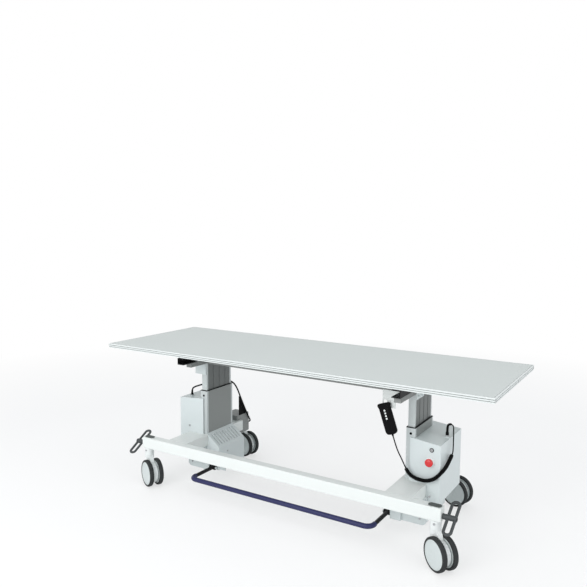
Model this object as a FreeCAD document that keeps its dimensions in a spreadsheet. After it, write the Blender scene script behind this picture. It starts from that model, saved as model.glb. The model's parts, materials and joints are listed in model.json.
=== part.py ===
import FreeCAD, Part
import Sketcher
import itertools
import math
import os
import re

# Mobile elevating radiography table with a four-way floating top.
# Millimetres. X runs along the top, the front is -Y, Z is up, the floor is Z = 0.

Vector = FreeCAD.Vector
doc = FreeCAD.newDocument("RadiographyTable")
sheet = doc.addObject("Spreadsheet::Sheet", "Sizes")


sizes = {
    # ---- tabletop ----
    "topLength": 2200,  # length of the top
    "topWidth": 750,  # width of the top
    "topHeight": 800,  # height of the top's surface above the floor
    "panelThickness": 16,  # laminate panel
    "edgeHeight": 24,  # height of the edge profile
    "edgeWidth": 24,  # width of the ledge under the panel
    "edgeLip": 4,  # wall that shows round the panel
    "grooveWidth": 3,  # groove along the edge profile
    "grooveDepth": 2.5,  # depth of that groove
    "lowGroove": 5,  # underside to the lower groove
    "highGroove": 14,  # underside to the upper groove
    "runnerLength": 2000,  # length of the channel under the panel
    "runnerInner": 270,  # centre line to the channel's open side
    "runnerWidth": 30,  # depth of the channel, sideways
    "runnerHeight": 28,  # height of the channel
    "runnerWall": 4,  # wall of the channel

    # ---- float carriage ----
    "slideGap": 0.3,  # running gap of a sliding block
    "carriageThickness": 22,  # thickness of the ladder frame
    "carriageRise": 5,  # ladder frame above the cross rails
    "carriageBar": 30,  # width of the ladder's bars
    "carriageGap": 4,  # ladder frame to the channel beside it
    "blockLength": 90,  # length of a bearing block
    "blockSpread": 500,  # centre to a block in the runners
    "shoeSpread": 150,  # centre to a shoe in the cross rails
    "hangerThickness": 12,  # plate that carries the shoes
    "brakeLength": 60,  # brake magnet on the middle bar
    "brakeSpread": 110,  # centre to a brake magnet
    "brakeGap": 0.5,  # brake magnet to the panel

    # ---- lifting frame ----
    "crossRailLength": 600,  # length of the rail across the table
    "crossRailWidth": 43,  # width of that rail
    "crossRailHeight": 36,  # height of that rail
    "crossRailWall": 4,  # wall of that rail
    "frameThickness": 26,  # depth of the underframe tubes
    "leftFrameFront": 232,  # centre to the left cross tube's front end
    "rightFrameFront": 280,  # centre to the right cross tube's front end
    "frameBack": 280,  # centre to the cross tubes' rear ends
    "frameTubeWidth": 40,  # width of the long tubes
    "frameTubeSpread": 75,  # centre to a long tube

    # ---- lift columns ----
    "leftColumnX": -621,  # left column from the centre
    "rightColumnX": 647,  # right column from the centre
    "columnY": 17,  # columns behind the centre
    "columnWidth": 45.5,  # outer column, along the table
    "columnDepth": 240,  # outer column, across the table
    "columnWall": 5.5,  # wall of the outer column
    "columnGap": 0.5,  # gap round the inner column
    "columnFoot": 110,  # floor to the outer column's foot
    "columnRim": 527,  # floor to the outer column's rim
    "carriageStack": 32,  # cross rails to the panel, for carriage and magnets
    "columnTop": "=topHeight - panelThickness - carriageStack - crossRailHeight - frameThickness",
    "innerFoot": 290,  # floor to the inner column's foot
    "innerWall": 4,  # wall of the inner column
    "fluteWidth": 7,  # flute down the inner column
    "fluteDepth": 1.5,  # depth of a flute
    "fluteSpread": 55,  # middle flute to its neighbours
    "sealHeight": 3.5,  # seal on the column's rim
    "sealLap": 0.8,  # seal beyond the column

    # ---- column heads ----
    "leftHeadReach": 43,  # left head beyond the column
    "leftHeadDepth": 46,  # left head, front to back
    "headHeight": 65,  # height of the left head
    "headFront": 8,  # left head in front of the column
    "plateThickness": 6,  # right head plate
    "plateLength": 98,  # right head plate, front to back
    "plateDrop": 26,  # right head plate below the frame
    "boltRadius": 6,  # head of the plate's bolts
    "boltHead": 5,  # height of those heads

    # ---- base frame ----
    "beamLength": 1762,  # front beam
    "beamDepth": 50,  # front beam, front to back
    "beamHeight": 62,  # height of beam and legs
    "beamWall": 3,  # wall of the beam
    "endWall": 4,  # plate closing the beam's end
    "frameTop": 272,  # floor to the top of beam and legs
    "beamY": -313,  # beam's centre line
    "shaftDrop": 40,  # beam's top to the pedal shaft
    "beamCorner": 4,  # rounding of the beam
    "leftLegX": -656,  # left leg's centre line
    "rightLegX": 666,  # right leg's centre line
    "legWidth": 130,  # width of a leg
    "legWall": 4,  # wall of a leg
    "legEnd": 235,  # centre to the end of the wide part
    "stubWidth": 60,  # width of the leg's rear stub
    "stubMargin": 28,  # caster pivot to the stub's end

    # ---- lower housings and covers ----
    "leftHousingX": -665,  # left lower housing's centre
    "rightHousingX": 679,  # right lower housing's centre
    "housingWidth": 125,  # width of a lower housing
    "housingFront": -120,  # front face of the lower housings
    "housingBack": 150,  # rear face of the lower housings
    "housingFoot": 70,  # floor to the lower housings
    "housingWall": 3,  # wall of a lower housing
    "housingCorner": 25,  # rounding of the low outer corner
    "ventReach": 81,  # vented cover beyond the leg
    "ventFoot": 76,  # floor to the vented cover
    "ventKnee": 210,  # floor to the foot of the slope
    "ventTop": 279,  # floor to the top of the slope
    "ventOverhang": 2,  # vented cover in front of the column
    "slotWidth": 7,  # vent slot
    "slotPitch": 24,  # distance between vent slots
    "slotCount": 9,  # number of vent slots
    "slotInset": 20,  # vented cover's front to the first slot
    "slotStart": 4,  # leg to a slot
    "slotEnd": 12,  # slot to the vented cover's edge
    "tabReach": 46,  # tab beside the vented cover
    "tabRise": 6,  # tab above that cover's foot
    "tabHeight": 14,  # height of the tab
    "coverFront": -110,  # front face of the side covers
    "leftCoverBack": 150,  # rear face of the left cover
    "rightCoverBack": 206,  # rear face of the right cover
    "leftOverhang": 70.5,  # left cover beyond the lower housing
    "rightOverhang": 56.5,  # right cover beyond the lower housing
    "leftCoverX": "=leftHousingX - housingWidth / 2 - leftOverhang",
    "rightCoverX": "=rightHousingX + housingWidth / 2 + rightOverhang",
    "coverFoot": 185,  # floor to the covers
    "coverHigh": 484,  # covers' height at the column
    "coverLow": 468,  # covers' height at the outer edge
    "coverWall": 3,  # wall of the covers
    "coverCorner": 6,  # rounding of the covers
    "coverGap": 0.4,  # cover to column

    "unitInset": 19,  # rear box inside the leg's inner side
    "unitEdge": 4,  # rear box inside the leg's outer side
    "unitFront": 206,  # front face of the rear box
    "unitBack": 325,  # rear face of the rear box
    "unitHeight": 30,  # rear box above the leg
    "unitFoot": 185,  # floor to the rear box beside the stub
    "guardHeight": 122,  # cable guard above the rear box
    "guardThickness": 4,  # cable guard
    "guardInset": 18,  # cable guard behind the covers
    "guardDepth": 72,  # foot of the cable guard
    "guardTip": 6,  # top of the cable guard
    "inletX": 139,  # mains inlet beyond the left column
    "inletRise": 60,  # mains inlet above the covers' foot
    "inletWidth": 50,  # mains inlet
    "inletHeight": 34,  # height of the mains inlet
    "inletThickness": 5,  # plate of the mains inlet
    "inletRim": 11,  # rim round the inlet's recess, sideways
    "inletLip": 8,  # rim round the recess, above and below
    "inletFloor": 2,  # plate behind the recess

    # ---- controls ----
    "stopX": 747,  # emergency stop, along the table
    "stopZ": 382,  # emergency stop above the floor
    "stopRadius": 19,  # emergency stop's button
    "collarRadius": 22,  # collar round the stop button
    "collarHeight": 6,  # collar in front of the cover
    "stopTravel": 3.5,  # push of the stop button
    "stopHead": 12,  # thickness of the stop button
    "stemRadius": 7,  # stem of the stop button
    "sleeveRadius": 11,  # neck of the collar through the cover
    "stemGuide": 12,  # neck behind the cover
    "stemReach": 5,  # stem behind the cover
    "runningGap": 0.05,  # radial gap of a turning fit
    "lockX": 755,  # key lock, along the table
    "lockZ": 441,  # key lock above the floor
    "lockRadius": 7,  # barrel of the key lock
    "bezelRadius": 10,  # ring round the key lock
    "bezelHeight": 2,  # ring in front of the cover
    "barrelRise": 1.5,  # barrel in front of its ring
    "barrelReach": 10,  # barrel behind the cover
    "keySlotWidth": 2,  # slot for the key
    "keySlotHeight": 8,  # height of that slot
    "keySlotDepth": 4,  # depth of that slot
    "flapWidth": 30,  # raised plate low on the right cover
    "flapHeight": 43,  # height of the raised plate
    "flapRise": 1.5,  # raised plate in front of the cover
    "flapInset": 12,  # leg to the raised plate
    "flapFoot": 7,  # covers' foot to the raised plate

    # ---- glands ----
    "rightGlandInset": 16,  # right gland inside the cover's outer face
    "rightGlandX": "=rightCoverX - rightGlandInset",
    "rightGlandY": 28,  # right gland, across the table
    "leftGlandInset": 50,  # left gland inside the cover's outer face
    "leftGlandX": "=leftCoverX + leftGlandInset",
    "leftGlandY": -58,  # left gland, across the table
    "bossRadius": 11.5,  # flat boss under a gland
    "bossRise": 7,  # boss above the cover's outer edge
    "bossTop": "=coverLow + bossRise",
    "nutAcross": 19,  # gland nut across flats
    "nutHeight": 6,  # height of a gland nut
    "glandRadius": 8,  # gland
    "glandTaper": 3,  # gland narrower at its tip
    "rightGlandHeight": 22,  # right gland above its nut
    "leftGlandHeight": 10,  # left gland above its nut

    # ---- casters ----
    "wheelRadius": 75,  # caster wheel
    "wheelWidth": 24,  # width of a wheel
    "wheelSpread": 28.4,  # middle of the pair to a wheel
    "treadThickness": 11,  # rubber tread
    "treadRound": 6,  # rounding of the tread
    "discInset": 1.5,  # rim behind the tread's side
    "discStep": 7,  # width of the rim round the raised disc
    "hubRise": 10,  # wheel's hub round the axle
    "hubCap": 5,  # disc over the axle's end
    "axleEnd": 6,  # axle's end to the wheel's side
    "axleRadius": 6,  # axle
    "trail": 41,  # swivel axis to the axle
    "casterInset": 28,  # beam's end to a front swivel axis
    "frontPivotX": "=beamLength / 2 - casterInset",
    "rearPivotY": 365,  # centre to the rear swivel axes
    "socketRadius": 25,  # socket under the beam
    "socketDrop": 42,  # length of a socket
    "stemBore": 7,  # swivel stem
    "socketRoof": 6,  # socket above the stem
    "stemShort": 1,  # stem below the socket's roof
    "headClear": 2,  # wheels' top to the swivel head
    "neckFoot": 30,  # axle to the neck's low corner
    "neckReach": 18,  # neck beyond the socket
    "neckDrop": 20,  # neck's outer corner below the wheels' top
    "webRadius": 56,  # housing between the wheels
    "webThickness": 25,  # width of that housing
    "rightFrontTurn": -35,  # right front caster's heading
    "leftFrontTurn": -24.5,  # left front caster's heading
    "rightRearTurn": -13,  # right rear caster's heading
    "leftRearTurn": -10,  # left rear caster's heading

    # ---- brake pedals ----
    "pedalReach": 41,  # beam's end to a pedal's middle
    "pedalX": "=beamLength / 2 + pedalReach",
    "pedalLength": 180,  # pedal
    "pedalWidth": 47,  # width of a pedal
    "pedalThickness": 12,  # thickness of a pedal
    "pedalBar": 14,  # bar round the pedal's windows
    "pedalMiddle": 26,  # crossbar of a pedal
    "pedalCorner": 15,  # rounding of a pedal
    "windowCorner": 8,  # rounding of its windows
    "pedalTilt": 32,  # pedal from level, rear end up
    "hubRadius": 13,  # hub of a pedal
    "shaftRadius": 8,  # shaft through the beam
    "endFloat": 0.5,  # pedal hub to the beam

    # ---- treadle ----
    "treadleHalf": 544,  # centre to a treadle arm
    "treadleY": -315,  # treadle bar from the centre
    "treadleZ": 92,  # treadle bar above the floor
    "treadleBend": 38,  # bend at the treadle's corners
    "treadleRadius": 10,  # treadle bar
    "sleeveOuter": 12.5,  # blue sleeve on the bar
    "sleeveArm": 6,  # sleeve beyond the bend
    "hingeY": -120,  # treadle's hinge line
    "hingeHub": 13,  # hub at the arm's end
    "hubWidth": 36,  # width of that hub
    "pinRadius": 5,  # hinge pin
    "pinOver": 2,  # hinge pin beyond the hub
    "pinHead": 4,  # head of the hinge pin
    "pinRim": 3,  # that head round the pin
    "hingeInner": 562.5,  # centre to a hinge block
    "hingeDepth": 30,  # hinge block, front to back
    "hingeHeight": 44,  # hinge block

    # ---- handset ----
    "handsetX": 567,  # handset, along the table
    "handsetDrop": 107,  # frame to the handset's middle
    "handsetZ": "=columnTop - handsetDrop",
    "handsetTilt": 19,  # handset from upright
    "handsetLength": 150,  # handset
    "handsetWidth": 58,  # width of the handset
    "handsetHead": 66,  # width of its top end
    "handsetThickness": 24,  # thickness of the handset
    "handsetGap": 0.5,  # handset to the hook plate
    "handsetTaper": 18,  # height of the handset's narrowing foot
    "handsetNarrow": 16,  # that foot narrower, on each side
    "handsetFlare": 20,  # height of the handset's wider top
    "handsetCorner": 5,  # rounding of the handset
    "keyRadius": 4.5,  # handset key
    "keyRise": 1.5,  # key above the handset's face
    "keyTravel": 1,  # push of a key
    "keyPitch": 13,  # distance between keys
    "keyStart": 34,  # top of the handset to the first key
    "keyWell": 4,  # depth of a key's well
    "keyGap": 0.1,  # radial gap round a key
    "pegDrop": 12,  # top of the handset to its peg
    "pegRadius": 5,  # peg on the handset's back
    "pegHead": 9,  # head of the peg
    "pegCap": 4,  # thickness of that head
    "keyholeDrop": 16,  # keyhole's wide part above the peg
    "hookFront": -181,  # front of the hook plate
    "hookThickness": 3,  # hook plate
    "hookLeft": 532,  # centre to the hook plate's edge
    "hookWidth": 66,  # hook plate
    "hookLength": 58,  # hook plate below the frame
    "hookFoot": "=columnTop - hookLength",
    "reliefLength": 12,  # strain relief on the handset
    "reliefTip": 3.5,  # strain relief at its tip
    "reliefFoot": 5.5,  # strain relief at the handset

    # ---- screws, plugs and caps ----
    "screwRadius": 5,  # screw head
    "screwHead": 3,  # height of a screw head
    "socketAcross": 4.5,  # its hexagon socket
    "socketDepth": 1.5,  # depth of that socket
    "endScrewRadius": 2.8,  # screw head on the end profile
    "endScrewHead": 1.2,  # height of that head
    "endScrewDrop": 13,  # top to those screws
    "endScrewInset": 12,  # corner to the outer screws
    "endScrewSpread": 30,  # centre to the inner screws
    "housingScrewSide": 30,  # housing's centre to its screw
    "housingScrewRise": 30,  # housing's foot to its screw
    "coverScrewSide": 102,  # left column to the cover's screw
    "coverScrewRise": 123,  # covers' foot to that screw
    "flapScrewSide": 20,  # leg to the screw on the raised plate
    "flapScrewRise": 30,  # covers' foot to that screw
    "ventScrewSide": 43,  # screw in front of the columns' centre
    "ventScrewRise": 94,  # vented cover's foot to its screw
    "socketScrewDrop": 12,  # leg's foot to the socket's screw
    "plugDrop": 27,  # rim to the column's plug
    "plugRadius": 6,  # column's plug
    "plugRise": 1.5,  # plug in front of the column
    "capInset": 34,  # beam's end to the cap
    "capLength": 60,  # cap on the beam
    "capWidth": 30,  # width of that cap
    "capRise": 4,  # height of that cap
    "capCorner": 14,  # rounding of that cap

    # ---- cords ----
    "leadDiameter": 6,  # handset lead
    "curlDiameter": 19,  # curly cord over its turns
    "linkDiameter": 9,  # cable to the rear of the left leg
    "curlFront": 20,  # curly cord in front of the cover
    "curlSide": 14,  # curly cord beside the cover
}

for row, (name, value) in enumerate(sizes.items(), 1):
    sheet.set("A%d" % row, name)
    sheet.set("B%d" % row, str(value))
    sheet.setAlias("B%d" % row, name)

doc.recompute()
names = itertools.count(1)
sides = (("left", -1), ("right", 1))


def formula(text):
    """Turns each size's name in a sum into a reference to the sheet."""
    linked = lambda word: "Sizes." + word.group(0) if word.group(0) in sizes else word.group(0)
    return re.sub(r"[A-Za-z]+", linked, str(text))


def worth(text):
    """What a sum of sizes comes to."""
    found = sheet.evalExpression(formula(text))
    return float(getattr(found, "Value", found))


def bind(item, path, text):
    item.setExpression(path, formula(text))


def body(label, x="0", y="0", z="0", turn=None, axis=None):
    """A body with its label and its place; turn is in degrees about axis."""
    made = doc.addObject("PartDesign::Body", "Body%d" % next(names))
    made.Label = label
    if axis:
        made.Placement = FreeCAD.Placement(Vector(), FreeCAD.Rotation(axis, 1))
        bind(made, "Placement.Rotation.Angle", turn)
    for letter, text in (("x", x), ("y", y), ("z", z)):
        bind(made, "Placement.Base." + letter, text)
    return made


def sketch(owner, plane, offset):
    made = owner.newObject("Sketcher::SketchObject", "Sketch%d" % next(names))
    faces = [face for face in owner.Origin.OriginFeatures if face.Role == plane + "_Plane"]
    made.AttachmentSupport = [(face, "") for face in faces]
    made.MapMode = "FlatFace"
    bind(made, "AttachmentOffset.Base.z", offset)
    return made


def pin_down(drawing, edge, end, across, up):
    """Fixes one point of a sketch's geometry from the sketch's origin."""
    for kind, text in (("DistanceX", across), ("DistanceY", up)):
        number = drawing.addConstraint(Sketcher.Constraint(kind, -1, 1, edge, end, worth(text)))
        label = "%s_%d_%d" % (kind, edge, end)
        drawing.renameConstraint(number, label)
        bind(drawing, "Constraints." + label, text)


def ordered(near, far, sign):
    """Two sums in rising order, given as near and far from the middle on the side sign names."""
    return (near, far) if sign > 0 else (far, near)


def polygon(*corners):
    """Draws a closed outline through corners, each an (across, up) pair of sums."""
    def draw(drawing):
        first = drawing.GeometryCount
        count = len(corners)
        spots = [Vector(worth(across), worth(up), 0) for across, up in corners]
        for k in range(count):
            drawing.addGeometry(Part.LineSegment(spots[k], spots[(k + 1) % count]))
        for k in range(count):
            drawing.addConstraint(Sketcher.Constraint("Coincident", first + k, 2, first + (k + 1) % count, 1))
        for k, (across, up) in enumerate(corners):
            pin_down(drawing, first + k, 1, across, up)
    return draw


def rectangle(left, right, low, high):
    return polygon((left, low), (right, low), (right, high), (left, high))


def circle(across, up, radius):
    def draw(drawing):
        centre = Vector(worth(across), worth(up), 0)
        edge = drawing.addGeometry(Part.Circle(centre, Vector(0, 0, 1), worth(radius)))
        pin_down(drawing, edge, 3, across, up)
        number = drawing.addConstraint(Sketcher.Constraint("Radius", edge, worth(radius)))
        drawing.renameConstraint(number, "Radius_%d" % edge)
        bind(drawing, "Constraints.Radius_%d" % edge, radius)
    return draw


def extrude(kind, owner, plane, low, high, outlines):
    """Pads or pockets outlines drawn in plane, from low to high along the plane's axis."""
    pads = kind == "PartDesign::Pad"
    flipped = plane == "XZ"
    near = low if pads != flipped else high
    drawing = sketch(owner, plane, "-(%s)" % near if flipped else near)
    for draw in outlines:
        draw(drawing)
    feature = owner.newObject(kind, "Feature%d" % next(names))
    feature.Profile = drawing
    bind(feature, "Length", "(%s) - (%s)" % (high, low))
    drawing.Visibility = False
    return feature


def pad(owner, plane, low, high, *outlines):
    return extrude("PartDesign::Pad", owner, plane, low, high, outlines)


def pocket(owner, plane, low, high, *outlines):
    return extrude("PartDesign::Pocket", owner, plane, low, high, outlines)


def turned(owner, plane, axis, *outlines, offset="0", kind="Revolution"):
    """Revolves outlines drawn in plane about the sketch's own H or V axis."""
    drawing = sketch(owner, plane, offset)
    for draw in outlines:
        draw(drawing)
    feature = owner.newObject("PartDesign::" + kind, "Feature%d" % next(names))
    feature.Profile = drawing
    feature.ReferenceAxis = (drawing, [axis + "_Axis"])
    feature.Angle = 360
    drawing.Visibility = False
    return feature


def fillet(owner, radius, accepts):
    """Rounds the edges of the body so far that accepts says yes to."""
    doc.recompute()
    base = owner.Tip
    picked = ["Edge%d" % number for number, edge in enumerate(base.Shape.Edges, 1) if accepts(edge)]
    feature = owner.newObject("PartDesign::Fillet", "Feature%d" % next(names))
    feature.Base = (base, picked)
    bind(feature, "Radius", radius)
    return feature


def soften(owner, radius, direction, chosen=lambda at: True):
    """Rounds the straight edges that run along direction and whose middle chosen accepts."""
    def accepts(edge):
        if edge.Curve.TypeId != "Part::GeomLine":
            return False
        along = abs(edge.tangentAt(edge.FirstParameter).dot(direction)) > 0.999
        return along and chosen(edge.CenterOfMass)
    return fillet(owner, radius, accepts)


def group(label, members):
    made = doc.addObject("Part::Compound", "Group%d" % next(names))
    made.Label = label
    made.Links = members
    return made


nodes = []
alongX = Vector(1, 0, 0)
alongY = Vector(0, 1, 0)
alongZ = Vector(0, 0, 1)
underside = "topHeight - edgeHeight"
panelFoot = "topHeight - panelThickness"
legFoot = "frameTop - beamHeight"
axisZ = "frameTop - shaftDrop"


# ---- tabletop ----
def panel():
    made = body("top_panel")
    pad(made, "XY", panelFoot, "topHeight",
        rectangle("edgeLip - topLength / 2", "topLength / 2 - edgeLip",
                  "edgeLip - topWidth / 2", "topWidth / 2 - edgeLip"))
    return made


def edge_section(half, sign):
    """Ledge, lip and two grooves of the edge profile, at half the size it runs round."""
    place = lambda inset: "%d * (%s - %s)" % (sign, half, inset)
    level = lambda rise: "%s + %s" % (underside, rise)
    corners = [(place("edgeWidth"), underside), (place("0"), underside)]
    for groove in ("lowGroove", "highGroove"):
        corners += [(place("0"), level(groove)), (place("grooveDepth"), level(groove)),
                    (place("grooveDepth"), level(groove + " + grooveWidth")),
                    (place("0"), level(groove + " + grooveWidth"))]
    corners += [(place("0"), "topHeight"), (place("edgeLip"), "topHeight"), (place("edgeLip"), panelFoot),
                (place("edgeWidth"), panelFoot)]
    return polygon(*corners)


def edge_profiles():
    members = []
    for sign in (-1, 1):
        long_side = body("long_profile_%d" % sign)
        pad(long_side, "YZ", "-topLength / 2", "topLength / 2", edge_section("topWidth / 2", sign))
        short_side = body("short_profile_%d" % sign)
        pad(short_side, "XZ", "edgeLip - topWidth / 2", "topWidth / 2 - edgeLip",
            edge_section("topLength / 2", sign))
        for end in (-1, 1):
            low, high = ordered("%d * (topWidth / 2 - edgeWidth)" % end, "%d * topWidth / 2" % end, end)
            pocket(short_side, "XZ", low, high,
                   rectangle("%d * topLength / 2 - edgeWidth - 1" % sign,
                             "%d * topLength / 2 + edgeWidth + 1" % sign, underside + " - 1", panelFoot))
        members += [long_side, short_side]
    return group("edge_profiles", members)


def channel(inner, depth, low, high, wall, sign):
    """C section with its open side at inner and its back at inner + depth."""
    place = lambda text: "%d * (%s)" % (sign, text)
    outer = "%s + %s" % (inner, depth)
    back = "%s - %s" % (outer, wall)
    return polygon((place(inner), low), (place(outer), low), (place(outer), high), (place(inner), high),
                   (place(inner), "%s - %s" % (high, wall)), (place(back), "%s - %s" % (high, wall)),
                   (place(back), "%s + %s" % (low, wall)), (place(inner), "%s + %s" % (low, wall)))


def top_runners():
    members = []
    for sign in (-1, 1):
        runner = body("runner_%d" % sign)
        pad(runner, "YZ", "-runnerLength / 2", "runnerLength / 2",
            channel("runnerInner", "runnerWidth", panelFoot + " - runnerHeight", panelFoot, "runnerWall", sign))
        members.append(runner)
    return group("top_runners", members)


# ---- lifting frame ----
frameHigh = "columnTop + frameThickness"
railHigh = frameHigh + " + crossRailHeight"


def cross_rails():
    members = []
    for side, sign in sides:
        rail = body(side + "_cross_rail")
        inner = "%d * %sColumnX - crossRailWidth / 2" % (sign, side)
        pad(rail, "XZ", "-crossRailLength / 2", "crossRailLength / 2",
            channel(inner, "crossRailWidth", frameHigh, railHigh, "crossRailWall", sign))
        members.append(rail)
    return group("cross_rails", members)


innerHalf = "columnWidth / 2 - columnWall - columnGap"
innerDeep = "columnDepth / 2 - columnWall - columnGap"


def underframe():
    made = body("underframe")
    for side, _ in sides:
        pad(made, "XY", "columnTop", frameHigh,
            rectangle("%sColumnX - (%s)" % (side, innerHalf), "%sColumnX + (%s)" % (side, innerHalf),
                      "-%sFrameFront" % side, "frameBack"))
        if side == "left":
            for sign in (-1, 1):
                pad(made, "XY", "columnTop", frameHigh,
                    rectangle("leftColumnX", "rightColumnX", "%d * frameTubeSpread - frameTubeWidth / 2" % sign,
                              "%d * frameTubeSpread + frameTubeWidth / 2" % sign))
    return made


def inner_columns():
    members = []
    for side, _ in sides:
        column = body(side + "_inner_column", side + "ColumnX", "columnY")
        inside = "(%s - innerWall)" % innerHalf
        deepInside = "(%s - innerWall)" % innerDeep
        pad(column, "XY", "innerFoot", "columnTop",
            rectangle("-(%s)" % innerHalf, innerHalf, "-(%s)" % innerDeep, innerDeep),
            rectangle("-" + inside, inside, "-" + deepInside, deepInside))
        for face in (-1, 1):
            for place in ("-fluteSpread", "0", "fluteSpread"):
                edge = "%d * (%s)" % (face, innerHalf)
                pocket(column, "XY", "innerFoot - 1", "columnTop + 1",
                       rectangle("%s - fluteDepth" % edge, "%s + fluteDepth" % edge,
                                 "%s - fluteWidth / 2" % place, "%s + fluteWidth / 2" % place))
        members.append(column)
    return group("inner_columns", members)


def column_heads():
    left = body("left_head")
    columnFront = "columnY - (%s)" % innerDeep
    front = columnFront + " - headFront"
    inner = "leftColumnX + (%s)" % innerHalf
    side = "leftColumnX - (%s)" % innerHalf
    outer = side + " - leftHeadReach"
    pad(left, "XY", "columnTop - headHeight", "columnTop",
        polygon((outer, front), (inner, front), (inner, columnFront), (side, columnFront),
                (side, front + " + leftHeadDepth"), (outer, front + " + leftHeadDepth")))
    right = body("right_head")
    face = "rightColumnX + (%s)" % innerHalf
    pad(right, "XY", "columnTop - plateDrop", frameHigh,
        rectangle(face, face + " + plateThickness", columnFront, "%s + plateLength" % columnFront))
    for rise in ("columnTop - plateDrop / 2", "columnTop + frameThickness / 2"):
        for reach in ("plateLength / 4", "plateLength * 3 / 4"):
            pad(right, "YZ", face + " + plateThickness", face + " + plateThickness + boltHead",
                circle("%s + %s" % (columnFront, reach), rise, "boltRadius"))
    return group("column_heads", [left, right])


def handset_hook():
    """White plate that hangs from the right cross tube, with a keyhole for the handset's peg."""
    made = body("handset_hook")
    arm = "rightColumnX - (%s)" % innerHalf
    high = frameHigh
    right = "hookLeft + hookWidth"
    pad(made, "XZ", "hookFront", "hookFront + hookThickness",
        polygon(("hookLeft", "hookFoot"), (right, "hookFoot"), (right, "columnTop"), (arm, "columnTop"),
                (arm, high), ("hookLeft", high)))
    peg = ("handsetX - (handsetLength / 2 - pegDrop) * sin(handsetTilt * 1deg)",
           "handsetZ + (handsetLength / 2 - pegDrop) * cos(handsetTilt * 1deg)")
    pocket(made, "XZ", "hookFront - 1", "hookFront + hookThickness + 1",
           circle(peg[0], peg[1] + " + keyholeDrop", "pegHead + 1"))
    pocket(made, "XZ", "hookFront - 1", "hookFront + hookThickness + 1",
           rectangle(peg[0] + " - pegRadius - slideGap", peg[0] + " + pegRadius + slideGap",
                     peg[1] + " - pegRadius - slideGap", peg[1] + " + keyholeDrop"))
    return made


# ---- float carriage ----
def carriage():
    made = body("carriage")
    low = railHigh + " + carriageRise"
    high = low + " + carriageThickness"
    left = "leftColumnX + crossRailWidth / 2 + carriageGap"
    right = "rightColumnX - crossRailWidth / 2 - carriageGap"
    outer = "(runnerInner - carriageGap)"
    inner = "(runnerInner - carriageGap - carriageBar)"
    pad(made, "XY", low, high,
        rectangle(left, right, "-" + outer, outer),
        rectangle(left + " + carriageBar", "-carriageBar / 2", "-" + inner, inner),
        rectangle("carriageBar / 2", right + " - carriageBar", "-" + inner, inner))
    runnerLow = panelFoot + " - runnerHeight + runnerWall + slideGap"
    runnerHigh = panelFoot + " - runnerWall - slideGap"
    back = "(runnerInner + runnerWidth - runnerWall - slideGap)"
    for across in (-1, 1):
        for along in (-1, 1):
            near, far = ordered("%d * (%s + 1)" % (across, inner), "%d * %s" % (across, back), across)
            pad(made, "XY", runnerLow, runnerHigh,
                rectangle("%d * blockSpread - blockLength / 2" % along,
                          "%d * blockSpread + blockLength / 2" % along, near, far))
    for side, sign in sides:
        web = "%sColumnX + %d * (crossRailWidth / 2 - crossRailWall - slideGap)" % (side, sign)
        face = "%sColumnX - %d * (crossRailWidth / 2 + carriageGap)" % (side, sign)
        inside = "%s - %d * hangerThickness" % (face, sign)
        shoeLow = frameHigh + " + crossRailWall + slideGap"
        shoeHigh = railHigh + " - crossRailWall - slideGap"
        for across in (-1, 1):
            near = "%d * shoeSpread - blockLength / 2" % across
            far = "%d * shoeSpread + blockLength / 2" % across
            pad(made, "XY", shoeLow, low + " + 1", rectangle(*ordered(inside, face, sign), near, far))
            pad(made, "XY", shoeLow, shoeHigh, rectangle(*ordered(inside, web, sign), near, far))
    return made


def float_brakes():
    members = []
    for sign in (-1, 1):
        magnet = body("float_brake_%d" % sign)
        pad(magnet, "XY", railHigh + " + carriageRise + carriageThickness", panelFoot + " - brakeGap",
            rectangle("-carriageBar / 2", "carriageBar / 2", "%d * brakeSpread - brakeLength / 2" % sign,
                      "%d * brakeSpread + brakeLength / 2" % sign))
        members.append(magnet)
    return group("float_brakes", members)


nodes += [panel(), edge_profiles(), top_runners(), cross_rails(), underframe(), inner_columns(), column_heads(),
          handset_hook(), carriage(), float_brakes()]


# ---- base frame ----
def base_beam():
    made = body("base_beam")
    low, high = "beamY - beamDepth / 2", "beamY + beamDepth / 2"
    pad(made, "YZ", "-beamLength / 2", "beamLength / 2", rectangle(low, high, legFoot, "frameTop"))
    soften(made, "beamCorner", alongX)
    pocket(made, "YZ", "endWall - beamLength / 2", "beamLength / 2 - endWall",
           rectangle(low + " + beamWall", high + " - beamWall", legFoot + " + beamWall", "frameTop - beamWall"))
    pocket(made, "YZ", "-beamLength / 2 - 1", "beamLength / 2 + 1",
           circle("beamY", axisZ, "shaftRadius + runningGap"))
    return made


def column_outline(side):
    return rectangle(side + "ColumnX - columnWidth / 2", side + "ColumnX + columnWidth / 2",
                     "columnY - columnDepth / 2", "columnY + columnDepth / 2")


def legs():
    members = []
    for side, sign in sides:
        leg = body(side + "_leg")
        outer = "%sLegX + %d * legWidth / 2" % (side, sign)
        inner = "%sLegX - %d * legWidth / 2" % (side, sign)
        step = outer + " - %d * stubWidth" % sign
        front = "beamY + beamDepth / 2"
        end = "rearPivotY + stubMargin"
        pad(leg, "XY", legFoot, "frameTop",
            polygon((outer, front), (outer, end), (step, end), (step, "legEnd"), (inner, "legEnd"),
                    (inner, front)))
        wall = "%d * legWall" % sign
        pocket(leg, "XY", legFoot + " - 1", "frameTop - legWall",
               polygon((outer + " - " + wall, front + " + legWall"), (outer + " - " + wall, end + " - legWall"),
                       (step + " + " + wall, end + " - legWall"), (step + " + " + wall, "legEnd - legWall"),
                       (inner + " + " + wall, "legEnd - legWall"), (inner + " + " + wall, front + " + legWall")))
        pocket(leg, "XY", "frameTop - legWall - 1", "frameTop + 1", column_outline(side))
        pad(leg, "XY", legFoot, "frameTop - legWall / 2",
            circle(pivot_x(side, "rear"), "rearPivotY", "socketRadius"))
        members.append(leg)
    return group("legs", members)


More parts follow.
